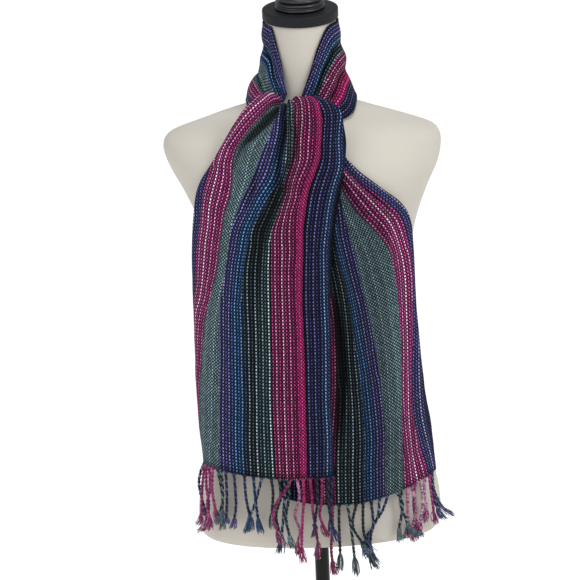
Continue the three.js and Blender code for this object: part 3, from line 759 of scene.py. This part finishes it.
# The same on the under tail, whose order is turned round.
underStripes = (
    ("at", "forest", "purple", "teal", "pink", "navy"),
    (
        (0.0, 9, 14, 19, 24, 34),
        (0.06, 8, 20, 28, 36, 52),
        (0.092, 9, 24, 33, 42, 66),
        (0.135, 12, 28, 42, 49, 86),
        (0.19, 16, 30, 46, 62, 106),
        (0.25, 20, 30, 52, 80, 122),
        (0.32, 24, 35, 59, 100, 130),
        (0.4, 28, 44, 66, 110, 134),
        (0.48, 32, 49, 74, 113, 134),
        (0.6, 31, 54, 84, 115, 132),
        (0.7, 29, 60, 88, 115, 130),
        (0.82, 23, 62, 91, 113, 132),
        (0.9, 21, 60, 89, 112, 138),
        (1.0, 20, 59, 88, 111, 147),
    ),
)

# fromU, fromV, toU, toV, spread mm, depth mm
frontCreases = (
    (0.64, 0.06, 0.69, 0.24, 4, -2.5),
    (0.49, 0.16, 0.46, 0.34, 4, 1.8),
    (0.44, 0.22, 0.42, 0.36, 3.5, -1.5),
    (0.06, 0.24, 0.04, 0.46, 5, -2),
    (0.40, 0.45, 0.39, 0.92, 6, 1.2),
    (0.60, 0.42, 0.58, 0.95, 6, 1.2),
    (0.22, 0.55, 0.27, 0.95, 6, -1.2),
)
underCreases = (
    (0.62, 0.05, 0.70, 0.30, 4, 2),
    (0.66, 0.05, 0.76, 0.28, 3.5, -2.5),
    (0.78, 0.04, 0.90, 0.24, 3.5, -2),
    (0.56, 0.34, 0.62, 0.70, 5, 1.5),
    (0.86, 0.60, 0.87, 0.98, 5, -2),
)

tails = {
    "front": {
        "form": frontTail, "folds": frontFolds, "creases": frontCreases, "stripes": frontStripes,
        "starts": stripeStarts, "sense": 1, "columns": 170, "rows": 240, "seed": 3.0,
        "overhung": 0.0, "foldShade": 0.88, "replaces": "scarf_front_tail",
    },
    "under": {
        "form": underTail, "folds": underFolds, "creases": underCreases, "stripes": underStripes,
        # the far edge of each stripe leads here
        "starts": {"forest": 178, "purple": 140, "teal": 104, "pink": 58, "navy": 20},
        "sense": -1, "columns": 150, "rows": 200, "seed": 9.0,
        "overhung": 0.42,  # painted shadow under the front tail
        "foldShade": 1.0,
        "replaces": "scarf_under_tail",
    },
}
frontCloth = clothTail("clothFrontTail", tails["front"])
print("front tail ready")
underCloth = clothTail("clothUnderTail", tails["under"])
print("under tail ready")


# ---- loop round the neck

# Both edges of a stretch of the loop: degrees from the front, and height in mm.
leftCollar = (
    ("at", "upperTurn", "upperHeight", "lowerTurn", "lowerHeight"),
    (
        (0.0, -110, 970, -110, 870),
        (0.25, -86, 968, -93, 866),
        (0.5, -62, 965, -76, 860),
        (0.68, -48, 958, -62, 853),
        (0.85, -33, 918, -46, 848),
        (1.0, -21, 874, -30, 846),
    ),
)
rightCollar = (
    ("at", "upperTurn", "upperHeight", "lowerTurn", "lowerHeight"),
    (
        (0.0, -3, 871, 27, 838),
        (0.16, 11, 904, 38, 839),
        (0.32, 25, 936, 50, 844),
        (0.5, 44, 960, 66, 856),
        (0.75, 76, 967, 88, 865),
        (1.0, 110, 970, 110, 870),
    ),
)
nape = (
    ("at", "upperTurn", "upperHeight", "lowerTurn", "lowerHeight"),
    (
        (0.0, 110, 970, 110, 870),
        (0.5, 180, 977, 180, 872),
        (1.0, 250, 970, 250, 870),
    ),
)
# How far the cloth stands from the loop's axis, in mm.
loopReach = (
    ("height", "throat", "left", "right", "behind"),
    (
        (826, 82, 95, 99, 82),
        (846, 71, 85, 84, 74),
        (860, 64, 80, 75, 67),
        (875, 58, 75, 67, 62),
        (894, 54.5, 65, 59.5, 58),
        (912, 53, 55, 58, 55),
        (943, 52, 51.5, 52.5, 53),
        (978, 50.5, 50.5, 50.5, 52),
    ),
)
# Flat place of the cloth, in mm from its outer selvedge, from the upper edge of the loop down.
leftCollarStripes = (
    (0.0, 104), (0.13, 119), (0.131, 105), (0.25, 119), (0.251, 140), (0.47, 122), (0.471, 101),
    (0.71, 75), (0.72, 56), (0.86, 40), (0.87, 19), (1.0, 3),
)
rightCollarStripes = (
    (0.0, 105), (0.30, 137), (0.301, 143), (0.40, 177), (0.66, 208),
    (0.661, 210), (0.79, 217), (0.80, 221), (1.0, 244),
)
neck = {
    "axisY": 3.0,  # where the loop's axis stands at the shoulders
    "leanHeight": 872.0,  # it leans back above this height
    "leanPerMm": 0.183,
    "lowestLean": -30.0,
    "throatTurns": (10, 58),  # degrees from the front, over which the side takes over
    "napeTurns": (85, 145),
    "pleats": 3,
    "pleatHeight": 2.6,
    "creaseShade": 1.25,
    "pleatShade": 1.5,  # mm that a pleat's bottom counts as, for its painted shade
    "edgeShade": 0.85,
    "lumps": (22, 0.8),  # size and height in mm
}


def loopPoint(turn, height, side):
    reach = readTable(loopReach, height)
    fromFront = abs(360 - turn if turn > 180 else turn)
    beside = smoothStep(fromFront, *neck["throatTurns"])
    behind = smoothStep(fromFront, *neck["napeTurns"])
    radius = mix(mix(reach["throat"], reach[side], beside), reach["behind"], behind)
    axisY = neck["axisY"] - neck["leanPerMm"] * max(height - neck["leanHeight"], neck["lowestLean"])
    angle = math.radians(turn)
    return Vector((radius * math.sin(angle), axisY - radius * math.cos(angle), height))


def loopSurface(table, sideAt):
    def surface(u, v):
        row = readTable(table, u)
        turn = mix(row["upperTurn"], row["lowerTurn"], v)
        height = mix(row["upperHeight"], row["lowerHeight"], v)
        return loopPoint(turn, height, sideAt(u))
    return surface


def clothLoop(name, values):
    surface = loopSurface(values["form"], values["side"])
    rows, columns = values["rows"], values["columns"]
    points, paintedShades = [], []
    for row in range(rows + 1):
        v = row / rows
        edges = max(math.sin(math.pi * v), 0) ** 0.5
        pleat = 0.5 - 0.5 * math.cos(2 * neck["pleats"] * math.pi * v)
        line, shadeLine = [], []
        for column in range(columns + 1):
            u = column / columns
            base = surface(u, v)
            crease = creaseHeight(values["creases"], u, v, *values["size"])
            # painted shade: the loop darkens in its creases and at its pleats' bottoms, and a painted
            # shadow runs along its upper edge
            edgeShadow = neck["edgeShade"] * (1 - smoothStep(v, *values["shadowedEdge"]))
            shaded = crease * neck["creaseShade"] - neck["pleatShade"] * (1 - pleat) * edges
            shadeLine.append(max(paintedShade(shaded), edgeShadow))
            lumps = softLumps(base, *neck["lumps"], values["seed"])
            lift = neck["pleatHeight"] * edges * pleat + crease + lumps
            line.append((base + outwardAt(surface, u, v) * lift) * mm)
        points.append(line)
        paintedShades.append(shadeLine)
    along = rowLengths(points)
    up = columnLengths(points)
    maps = []
    for row, line in enumerate(points):
        maps.append([])
        for column in range(columns + 1):
            total = up[0][column]
            knots = [(share * total, flat * mm) for share, flat in values["stripes"](column / columns)]
            flat = throughKnots(knots, total - up[row][column], 1)
            maps[-1].append((flat, along[row][column]))
    return clothShell(name, points, maps, paintedShades, values["replaces"])


# Flat place at a share of the loop's height.
def flatAt(stripes, share):
    for (a, flatA), (b, flatB) in zip(stripes, stripes[1:]):
        if share <= b:
            return mix(flatA, flatB, (share - a) / (b - a))
    return stripes[-1][1]


# Behind the neck the left side's layer lies over the right side's, with a slanting edge.
napeEdge = {"from": 0.1, "to": 0.9}  # where it leaves the upper and the lower edge of the loop


def napeStripes(u):
    edge = min(max((u - napeEdge["from"]) / (napeEdge["to"] - napeEdge["from"]), 0), 1)
    over = [knot for knot in leftCollarStripes if knot[0] < edge]
    under = [knot for knot in rightCollarStripes if knot[0] > edge + 0.001]
    meeting = [(edge, flatAt(leftCollarStripes, edge)), (edge + 0.001, flatAt(rightCollarStripes, edge))]
    return over + meeting + under


loops = {
    "left": {
        "form": leftCollar, "side": lambda u: "left", "stripes": lambda u: leftCollarStripes,
        "creases": ((0.2, 0.3, 0.98, 0.42, 3.5, -3), (0.1, 0.66, 0.98, 0.7, 3.5, -3)),
        "size": (130, 110), "columns": 80, "rows": 90, "seed": 21.0, "shadowedEdge": (0.0, 0.025),
        "replaces": "scarf_collar_left",
    },
    "right": {
        "form": rightCollar, "side": lambda u: "right", "stripes": lambda u: rightCollarStripes,
        "creases": ((0.02, 0.33, 0.8, 0.3, 3.5, -4.2), (0.02, 0.66, 0.8, 0.66, 3.5, -3)),
        "size": (130, 110), "columns": 80, "rows": 90, "seed": 27.0, "shadowedEdge": (0.02, 0.06),
        "replaces": "scarf_collar_right",
    },
    "nape": {
        "form": nape, "side": lambda u: "right" if u < 0.5 else "left", "stripes": napeStripes,
        "creases": ((napeEdge["from"], 0, napeEdge["to"], 1, 2.5, -5), (0.2, 0.0, 0.98, 0.8, 6, 2),
                    (0.02, 0.33, 0.3, 0.33, 3.5, -3), (0.6, 0.3, 0.98, 0.3, 3.5, -3)),
        "size": (140, 100), "columns": 110, "rows": 80, "seed": 33.0, "shadowedEdge": (0.0, 0.03),
        "replaces": "scarf_nape",
    },
}
leftCloth = clothLoop("clothCollarLeft", loops["left"])
rightCloth = clothLoop("clothCollarRight", loops["right"])
napeCloth = clothLoop("clothNape", loops["nape"])
print("loop ready")


# ---- crossing under the flipped tail

# Sections of the bundle, in mm from the form's axis.
crossing = (
    ("height", "centre", "half", "front", "back"),
    (
        (807, 14, 13, 89, 84),
        (812, 13, 21, 89.5, 78.5),
        (824, 10, 27, 88, 71),
        (836, 5, 26, 85, 66.5),
        (846, -2, 20, 81, 64),
        (854, -6, 12, 76, 65.5),
    ),
)


# A closed piece through rings of points, with its two ends filled.
def ringPiece(name, rings, maps, material):
    mesh = bmesh.new()
    addGrid(mesh, rings, maps, wrapped=True)
    openEdges = [edge for edge in mesh.edges if edge.is_boundary]
    bmesh.ops.holes_fill(mesh, edges=openEdges, sides=0)
    bmesh.ops.recalc_face_normals(mesh, faces=mesh.faces)
    return newObject(name, mesh, material)


def crossingBundle():
    levels, sides = 40, 72  # of its mesh
    rings, maps = [], []
    for level in range(levels + 1):
        height = mix(crossing[1][-1][0], crossing[1][0][0], level / levels)
        section = readTable(crossing, height)
        middle = -(section["front"] + section["back"]) / 2
        depth = (section["front"] - section["back"]) / 2
        ring, flat = [], []
        for side in range(sides + 1):
            angle = side / sides * 2 * math.pi
            pleat = 1 - 0.05 * (0.5 + 0.5 * math.cos(7 * angle))  # seven soft pleats round it
            x = section["centre"] + section["half"] * pleat * math.sin(angle)
            ring.append(Vector((x, middle - depth * pleat * math.cos(angle), height)) * mm)
            flat.append((mix(20, 180, side / sides) * mm, -height * mm))
        rings.append(ring)
        maps.append(flat)
    declare(ringPiece("clothCrossing", rings, maps, weaveMaterial), "scarf_crossing")


crossingBundle()
print("crossing ready")


# ---- fringes

fringe = {  # mm, where nothing else is said
    "plyRadius": 1.25,
    "plyOffset": 1.0,
    "lay": 11.0,  # for one full turn of the twist
    "plyMesh": (9, 6),  # rows for each turn, and sides
    "darkPly": 258.0,  # flat place of a nearly black end
    "pinkYarns": ((20, 58), (178, 218)),  # flat places whose two plies are alike
    "rootSpread": 5.0,  # hem that each strand gathers its ends from
    "rootLength": 6.0,
    "rootEnds": 5,
    "rootRadius": 0.62,
    "rootMesh": (4, 4),
    "hairs": 22,
    "hairRadius": 0.55,
    "hairSpread": 4.2,
    "hairMesh": (6, 4),
    "knotRadius": 2.3,
    "knotTube": 1.35,
    "knotMesh": (18, 6),
    "hemSeat": (0.7, 1.2),  # how far the roots stand behind the cloth's face and above its edge
}

# Each strand: x of its root, its bends as (sideways, down) in mm from the root, how far it
# stands forward, the flat place of its yarns, its tuft's length, its tuft's slant, and how far
# down its knot lies as a share of its length, or 0 for none.
frontStrands = (
    (-157, ((0, 0), (-5, 12), (-8, 28), (-6, 46), (-2, 64)), -2, 8, 14, 2, 0),
    (-155, ((0, 0), (-4, 26), (-6, 48), (-8, 72)), 1, 34, 16, -3, 0),
    (-152, ((0, 0), (-1, 30), (1, 58), (-5, 80)), 2, 30, 16, -6, 0),
    (-148, ((0, 0), (0, 30), (-5, 54), (-2, 74)), 0, 25, 18, -3, 0),
    (-143, ((0, 0), (-2, 30), (1, 60)), 3, 44, 20, 3, 0),
    (-137, ((0, 0), (4, 26), (5, 46), (-1, 66)), -2, 66, 14, -2, 0),
    (-132, ((0, 0), (1, 30), (-1, 56)), 1, 84, 30, 0, 0),
    (-126, ((0, 0), (0, 36), (-2, 66)), -1, 104, 10, 0, 0),
    (-115, ((0, 0), (1, 42), (-2, 64)), 0, 112, 16, -2, 0),
    (-101, ((0, 0), (1, 32), (5, 58)), 0, 122, 22, -2, 0),
    (-89, ((0, 0), (2, 38), (4, 60)), 1, 132, 22, 2, 0),
    (-77, ((0, 0), (-11, 36), (-19, 54)), -1, 136, 24, -2, 0),
    (-65, ((0, 0), (2, 20), (-1, 50)), 0, 150, 22, 2, 0),
    (-54, ((0, 0), (1, 26), (-6, 50), (-3, 74)), -1, 160, 22, 5, 0),
    (-46, ((0, 0), (-2, 28), (-5, 58), (-9, 86)), 1, 248, 18, -2, 0),
    (-41, ((0, 0), (-1, 26), (-6, 54), (-2, 80)), -1, 168, 18, 2, 0),
    (-37, ((0, 0), (-10, 16), (-22, 32), (-27, 52), (-22, 72)), 3, 186, 20, 3, 0.3),
    (-30, ((0, 0), (2, 26), (-5, 50), (1, 72), (-3, 88)), 0, 184, 20, 2, 0),
    (-22, ((0, 0), (0, 28), (-3, 56), (-6, 96)), 1, 212, 22, 3, 0),
    (-13, ((0, 0), (2, 30), (2, 46), (5, 68), (7, 90)), -1, 196, 24, -3, 0.76),
    (-4, ((0, 0), (0, 30), (-4, 58), (-6, 72)), 1, 222, 12, 0, 0.92),
    (3, ((0, 0), (-1, 28), (-5, 52), (-1, 66)), 0, 206, 18, 4, 0),
    (11, ((0, 0), (-1, 34), (2, 58), (5, 74)), 1, 228, 18, 3, 0),
    (17, ((0, 0), (-3, 32), (-5, 60)), -1, 246, 20, 0, 0),
)
underStrands = (
    (16, ((0, 0), (-1, 28), (-4, 62), (-3, 80)), 0, 188, 20, 2, 0),
    (25, ((0, 0), (-1, 28), (-1, 70)), -1, 172, 24, -2, 0),
    (36, ((0, 0), (4, 36), (7, 76)), 1, 166, 26, 1, 0),
    (48, ((0, 0), (-6, 32), (7, 58)), -2, 158, 14, 6, 0.97),
    (57, ((0, 0), (-1, 38), (3, 56), (7, 70)), 1, 148, 26, 5, 0.78),
    (68, ((0, 0), (1, 38), (-12, 60)), 3, 122, 22, 8, 0),
    (80, ((0, 0), (-4, 28), (-20, 54)), -1, 128, 26, 12, 0.98),
    (92, ((0, 0), (-9, 22), (-23, 44), (-27, 68)), 2, 112, 28, 8, 0),
    (103, ((0, 0), (8, 17), (2, 52)), -3, 96, 20, 2, 0),
    (111, ((0, 0), (-3, 18), (6, 48)), 1, 84, 22, 14, 0),
    (118, ((0, 0), (0, 28), (-1, 56)), -2, 54, 18, -3, 0),
    (124, ((0, 0), (5, 32), (-1, 62)), -1, 46, 20, 4, 0),
    (131, ((0, 0), (-4, 32), (0, 60)), 1, 42, 20, 2, 0),
    (137, ((0, 0), (3, 30), (-2, 62)), -1, 36, 20, -6, 0),
    (143, ((0, 0), (-2, 26), (0, 48)), 1, 28, 18, -4, 0.8),
    (148, ((0, 0), (3, 32), (5, 54)), -1, 22, 18, 2, 0),
    (151, ((0, 0), (3, 36), (8, 52)), 2, 10, 16, 6, 0),
    (153, ((0, 0), (1, 22), (6, 40)), 0, 12, 24, 16, 0.95),
)


def strandPlace(bends, t):
    lengths = [0.0]
    for (ax, az), (bx, bz) in zip(bends, bends[1:]):
        lengths.append(lengths[-1] + math.hypot(bx - ax, bz - az))
    names = ("way", "x", "z")
    rows = tuple((way / lengths[-1], x, z) for way, (x, z) in zip(lengths, bends))
    found = readTable((names, rows), t)
    return found["x"], found["z"], lengths[-1]


# A closed tube round a path. Its rings lie across the path.
def addTube(mesh, pathAt, radiusAt, rows, sides, flat, start, length):
    points, maps = [], []
    for row in range(rows + 1):
        t = row / rows
        centre, radius = pathAt(t), radiusAt(t)
        heading = (pathAt(min(t + 0.01, 1)) - pathAt(max(t - 0.01, 0))).normalized()
        first = heading.cross(Vector((0, 1, 0.01))).normalized()
        second = heading.cross(first)
        line, flats = [], []
        for side in range(sides + 1):
            angle = (side % sides) / sides * 2 * math.pi
            line.append((centre + (first * math.cos(angle) + second * math.sin(angle)) * radius) * mm)
            flats.append(((flat + 0.9 * side / sides) * mm, (start + length * t) * mm))
        points.append(line)
        maps.append(flats)
    addGrid(mesh, points, maps, wrapped=True)


def addStrand(mesh, surfaceAt, index, strand):
    rootX, bends, forwardBy, flat, tuft, slant, knot = strand
    root = surfaceAt(rootX)
    total = strandPlace(bends, 1)[2]

    def middle(t):
        x, z, _ = strandPlace(bends, t)
        forward = forwardBy * math.sin(math.pi * min(t * 0.8, 1))
        return root + Vector((x, -forward, -z))

    for ply in range(2):
        def plyPath(t):
            turn = 2 * math.pi * (t * total / fringe["lay"] + ply / 2) + index * 1.3
            return middle(t) + Vector((math.cos(turn), math.sin(turn), 0)) * fringe["plyOffset"]

        def plyRadius(t):
            return fringe["plyRadius"] * min(1, 14 * (1.02 - t), 0.6 + 9 * t)  # thin at both ends

        # one ply is dark, except in the pink strands
        alike = any(low < flat < high for low, high in fringe["pinkYarns"])
        shade = fringe["darkPly"] if ply and not alike else flat
        rowsPerTurn, sides = fringe["plyMesh"]
        rows = round(total / fringe["lay"] * rowsPerTurn)
        addTube(mesh, plyPath, plyRadius, rows, sides, shade, index * 90, total)

    # warp ends drawn in from the hem, each in a shallow curve
    for end in range(fringe["rootEnds"]):
        share = end / (fringe["rootEnds"] - 1) * 2 - 1
        start = surfaceAt(rootX + share * fringe["rootSpread"]) + Vector((0, 0, 0.8))
        finish = middle(fringe["rootLength"] / total)

        def endPath(t):
            return start + (finish - start) * t + Vector((start.x - finish.x, 0, 0)) * (t - t * t) * -0.6

        def endRadius(t):
            return fringe["rootRadius"] * (1 + 0.5 * t)

        shade = fringe["darkPly"] if end % 2 else flat
        addTube(mesh, endPath, endRadius, *fringe["rootMesh"], shade, index * 90, fringe["rootLength"])

    if knot:
        tied = middle(knot)

        def knotPath(t):
            turn = t * 3 * math.pi  # one and a half turns round the strand
            lift = Vector((0, 0, 1.6 * math.sin(turn * 0.67)))
            return tied + Vector((math.cos(turn), math.sin(turn), 0)) * fringe["knotRadius"] + lift

        def knotRadius(t):
            return fringe["knotTube"] * min(1, 6 * t + 0.4, 6 * (1 - t) + 0.4)

        addTube(mesh, knotPath, knotRadius, *fringe["knotMesh"], flat, index * 90, 20)

    # the frayed end
    tip = middle(1)
    heading = (tip - middle(0.93)).normalized()
    for hair in range(fringe["hairs"]):
        spin = hair / fringe["hairs"] * 2 * math.pi + random.uniform(-0.3, 0.3)
        spread = Vector((math.cos(spin), math.sin(spin), 0)) * fringe["hairSpread"] * random.uniform(0.3, 1)
        fall = tuft * random.uniform(0.78, 1.05)
        curve = random.uniform(-1.6, 1.6)
        lean = slant * random.uniform(0.6, 1.4)
        origin = tip - heading * 2 + spread * 0.35

        def hairPath(t):
            bend = lean * t * t + curve * math.sin(math.pi * t)
            follow = Vector((heading.x, heading.y, 0)) * fall * 0.45 * t
            return origin + follow + spread * (t ** 0.6) + Vector((bend, 0, -fall * t))

        def hairRadius(t):
            return fringe["hairRadius"] * (1.05 - 0.3 * t)

        shade = flat + random.uniform(-4, 8)
        addTube(mesh, hairPath, hairRadius, *fringe["hairMesh"], shade, hair * 5, fall)


def makeFringe(name, values):
    table = values["form"]
    surface = tailSurface(table)
    hem = readTable(table, 1.0)
    turnReach = curlRadius * math.sin(min(hem["curl"] / curlRadius, math.pi / 2))
    width = hem["rightX"] - hem["leftX"] - turnReach + hem["curl"]

    def surfaceAt(x):
        u = min(max((x - hem["leftX"] - turnReach + hem["curl"]) / width, 0), 1)
        behind, above = fringe["hemSeat"]
        place = surface(u, 1) + outwardAt(surface, u, 1) * (foldHeight(values["folds"], u, 1) - behind)
        place.z -= shell["hemDrop"] - above
        return place

    mesh = bmesh.new()
    for index, strand in enumerate(values["strands"]):
        addStrand(mesh, surfaceAt, index, strand)
    loose = [edge for edge in mesh.edges if edge.is_boundary]
    bmesh.ops.holes_fill(mesh, edges=loose, sides=0)
    bmesh.ops.recalc_face_normals(mesh, faces=mesh.faces)
    return declare(newObject(name, mesh, yarnMaterial), values["replaces"])


frontYarn = makeFringe("yarnFrontFringe", {
    "form": frontTail, "folds": frontFolds, "strands": frontStrands, "replaces": "front_fringe"})
underYarn = makeFringe("yarnUnderFringe", {
    "form": underTail, "folds": underFolds, "strands": underStrands, "replaces": "under_fringe"})
print("fringes ready")


# ---- dress form

# Sections of the form, in mm. "square" is 2 for an ellipse and more for a boxier outline, "lean"
# is in degrees, "tilt" lowers the right side, and "shift" moves the section sideways.
torso = (
    ("height", "half", "front", "back", "axis", "lean", "square", "tilt", "shift"),
    (
        (263, 160, 104, 102, 0, 0, 2.1, 0, 0),
        (268, 165, 109, 107, 0, 0, 2.1, 0, 0),
        (295, 168, 112, 113, 0, 0, 2.1, 0, 0),
        (340, 162, 111, 116, 0, 0, 2.1, 0, 0),
        (390, 147, 105, 110, 0, 0, 2.1, 0, 0),
        (440, 128, 96, 92, 0, 0, 2.1, 0, 0),
        (490, 117, 91, 78, 0, 0, 2.1, 0, 0),
        (540, 117, 95, 76, 0, 0, 2.1, 0, 0),
        (600, 126, 109, 83, 0, 0, 2.2, 0, 0),
        (650, 136, 119, 91, 0, 0, 2.3, 0, 0),
        (700, 148, 115, 97, 0, 0, 2.3, 0, 0),
        (740, 164, 104, 97, 0, 0, 2.3, -0.006, -1),
        (775, 181, 92, 91, 0, 0, 2.5, -0.012, -2.5),
        (798, 187.5, 83, 82, 0, 0, 2.5, -0.012, -4),
        (814, 186, 75, 75, 0, 0, 2.4, -0.012, -4),
        (826, 174, 68, 69, 0, 0, 2, -0.012, -3),
        (840, 134.5, 60, 62, 1, 0, 1.5, -0.015, -1.5),
        (852, 96, 55, 58, 2, 0, 1.5, -0.02, -2),
        (862, 63, 52, 54, 3, 1, 1.7, -0.015, -1),
        (875, 53, 50, 51, 2, 2, 1.9, 0, 0),
        (895, 48.5, 48, 48.5, -1, 4, 2, 0, 0),
        (930, 47.5, 47.5, 47.5, -8, 8, 2, 0, 0),
        (971.7, 47.5, 47.5, 47.5, -15, 12.5, 2, 0, 0),
    ),
)


# Linen pulled smooth over the form: matt and even, with a fine thread that just shows.
linen = {
    "tone": (14.0, 3.0),  # scale and detail of the drift in shade
    "shades": ((0.0, "#b7b2a9"), (1.0, "#c0bbb1")),
    "grain": (900.0, 2.0),  # threads drawn about 1 mm apart, twice the real spacing, so that they show
    "bump": (0.25, 0.3),  # strength, and depth in mm
    "shader": {"Roughness": 0.85, "Specular IOR Level": 0.3, "Sheen Weight": 0.1},
}


# A material with a drift in shade, and where it has them a fine grain and an uneven gloss.
def makeFinish(name, values):
    material, tree = newMaterial(name)
    place = addNode(tree, "ShaderNodeTexCoord").outputs["Object"]

    def cloudy(scale, detail):
        inputs = {"Vector": place, "Scale": scale, "Detail": detail}
        return addNode(tree, "ShaderNodeTexNoise", inputs).outputs["Fac"]

    tone = cloudy(*values["tone"])
    ramp = addNode(tree, "ShaderNodeValToRGB", {"Fac": tone})
    for element, (position, shade) in zip(ramp.color_ramp.elements, values["shades"]):
        element.position = position
        element.color = linear(shade)
    inputs = {"Base Color": ramp.outputs["Color"], **values["shader"]}
    if "gloss" in values:
        low, high = values["gloss"]
        inputs["Roughness"] = addNode(tree, "ShaderNodeMapRange", {
            "Value": tone, "To Min": low, "To Max": high}).outputs["Result"]
    if "bump" in values:
        strength, depth = values["bump"]
        inputs["Normal"] = addNode(tree, "ShaderNodeBump", {
            "Height": cloudy(*values["grain"]), "Strength": strength, "Distance": depth * mm,
        }).outputs["Normal"]
    shader = addNode(tree, "ShaderNodeBsdfPrincipled", inputs)
    addNode(tree, "ShaderNodeOutputMaterial", {"Surface": shader.outputs["BSDF"]})
    return material


def linenTorso():
    levels, sides = 150, 112  # of its mesh
    rings, maps = [], []
    top, bottom = torso[1][-1][0], torso[1][0][0]
    for level in range(levels + 1):
        section = readTable(torso, mix(top, bottom, level / levels))
        slope = math.tan(math.radians(section["lean"]))
        power = 2 / section["square"]
        ring = []
        for side in range(sides + 1):
            angle = (side % sides) / sides * 2 * math.pi
            sine, cosine = math.sin(angle), math.cos(angle)
            depth = section["front"] if cosine > 0 else section["back"]
            x = section["half"] * math.copysign(abs(sine) ** power, sine)
            y = -depth * math.copysign(abs(cosine) ** power, cosine)
            z = section["height"] + y * slope + x * section["tilt"]
            ring.append(Vector((x + section["shift"], section["axis"] + y, z)) * mm)
        rings.append(ring)
        maps.append([(side / sides, level / levels) for side in range(sides + 1)])
    declare(ringPiece("linenTorso", rings, maps, makeFinish("bleachedLinen", linen)),
            "form_torso")


linenTorso()
print("torso ready")


# ---- stand, cap and finial

stand = {
    "spinSteps": 96,
    "headPlace": (0, -15, 972),  # mm, middle of the cap's underside
    "headLean": 12.5,  # degrees back
    "seat": 0.3,  # mm between cap and finial
    "capRadius": 51,
    "capHeight": 13.5,
    "capEdge": 1.6,
    "poleRadius": 10,
    "poleEnds": (26.3, 262.7),
    "poleEdge": 0.6,
    "base": [(0, 0), (150, 0), (150, 9.5), (146, 11), (34, 14), (22, 17), (16, 24), (14, 26), (0, 26)],
    "baseEdge": 2.5,
}
finial = {
    "rings": ((33.5, 0, 5), (33, 6.5, 11), (31.5, 12.5, 17)),  # radius, bottom and top of each
    "waist": [(28, 18.5), (20, 24), (14.5, 32), (13, 38), (17, 40), (17, 44), (13, 46), (13, 47)],
    "waistEdge": 3,
    "ballRadius": 21,
    "ballHeight": 63,
    "ballFrom": -48,  # degrees below its widest level
    "ballStep": 6.9,
}


def spunPiece(name, profile, material, replaced, place=Matrix.Identity(4)):
    mesh = bmesh.new()
    corners = [mesh.verts.new((radius * mm, 0, height * mm)) for radius, height in profile]
    edges = [mesh.edges.new(pair) for pair in zip(corners, corners[1:])]
    bmesh.ops.spin(mesh, geom=corners + edges, cent=(0, 0, 0), axis=(0, 0, 1), dvec=(0, 0, 0),
                   angle=2 * math.pi, steps=stand["spinSteps"], use_merge=True, use_duplicate=False)
    bmesh.ops.remove_doubles(mesh, verts=mesh.verts, dist=1e-6)
    bmesh.ops.recalc_face_normals(mesh, faces=mesh.faces)
    bmesh.ops.transform(mesh, matrix=place, verts=mesh.verts)
    made = newObject(name, mesh, material)
    made.data.set_sharp_from_angle(angle=math.radians(32))
    declare(made, replaced)


def roundedProfile(corners, radius, steps=5):
    made = [corners[0]]
    for before, corner, after in zip(corners, corners[1:], corners[2:]):
        a, b, c = Vector(before), Vector(corner), Vector(after)
        cut = min(radius, (a - b).length * 0.45, (c - b).length * 0.45)
        start, end = b + (a - b).normalized() * cut, b + (c - b).normalized() * cut
        for step in range(steps + 1):
            t = step / steps
            made.append(tuple(start * (1 - t) ** 2 + b * 2 * t * (1 - t) + end * t * t))
    made.append(corners[-1])
    return made


# Moulded ABS with a spark-eroded texture: dark grey, dull, with a fine speckle.
capPlastic = {
    "tone": (800.0, 2.0),
    "shades": ((0.35, "#080a0d"), (0.75, "#14171d")),
    "grain": (800.0, 2.0),
    "bump": (0.35, 0.4),
    "shader": {"Roughness": 0.6, "Specular IOR Level": 0.25},
}
# Turned wood under black lacquer: deep black, with soft highlights along its rings.
lacquer = {
    "tone": (60.0, 3.0),
    "shades": ((0.0, "#07080b"), (1.0, "#0e1016")),
    "gloss": (0.3, 0.42),
    "shader": {"Coat Weight": 0.12, "Coat Roughness": 0.2},
}
# Powder coat on steel: even satin black with a faint orange peel.
powderCoat = {
    "tone": (350.0, 2.0),
    "shades": ((0.0, "#030304"), (1.0, "#070709")),
    "grain": (350.0, 2.0),
    "bump": (0.15, 0.3),
    "shader": {"Roughness": 0.26, "Specular IOR Level": 0.2},
}


def finialProfile():
    profile = [(0, 0)]
    for radius, bottom, top in finial["rings"]:
        half = (top - bottom) / 2
        for step in range(7):
            angle = math.radians(-90 + step * 30)
            profile.append((radius - half + half * math.cos(angle), bottom + half + half * math.sin(angle)))
    profile += roundedProfile([profile[-1]] + finial["waist"], finial["waistEdge"])[1:]
    for step in range(21):
        angle = math.radians(finial["ballFrom"] + step * finial["ballStep"])
        profile.append((finial["ballRadius"] * math.cos(angle),
                        finial["ballHeight"] + finial["ballRadius"] * math.sin(angle)))
    profile[-1] = (0, finial["ballHeight"] + finial["ballRadius"])
    return profile


# Profile of a plain disc or rod with rounded edges.
def rodProfile(radius, bottom, top, edge):
    return roundedProfile([(0, bottom), (radius, bottom), (radius, top), (0, top)], edge)


coat = makeFinish("blackPowderCoat", powderCoat)
headPlace = Matrix.Translation(Vector(stand["headPlace"]) * mm) @ Matrix.Rotation(
    math.radians(stand["headLean"]), 4, "X")
finialPlace = headPlace @ Matrix.Translation((0, 0, (stand["capHeight"] + stand["seat"]) * mm))
spunPiece("turnedCap", rodProfile(stand["capRadius"], 0, stand["capHeight"], stand["capEdge"]),
          makeFinish("texturedCharcoalPlastic", capPlastic), "neck_cap", headPlace)
spunPiece("turnedFinial", finialProfile(), makeFinish("blackLacquer", lacquer),
          "cap_finial", finialPlace)
spunPiece("steelPole", rodProfile(stand["poleRadius"], *stand["poleEnds"], stand["poleEdge"]),
          coat, "form_pole")
spunPiece("steelBase", roundedProfile(stand["base"], stand["baseEdge"]), coat, "form_base")
print("stand ready")
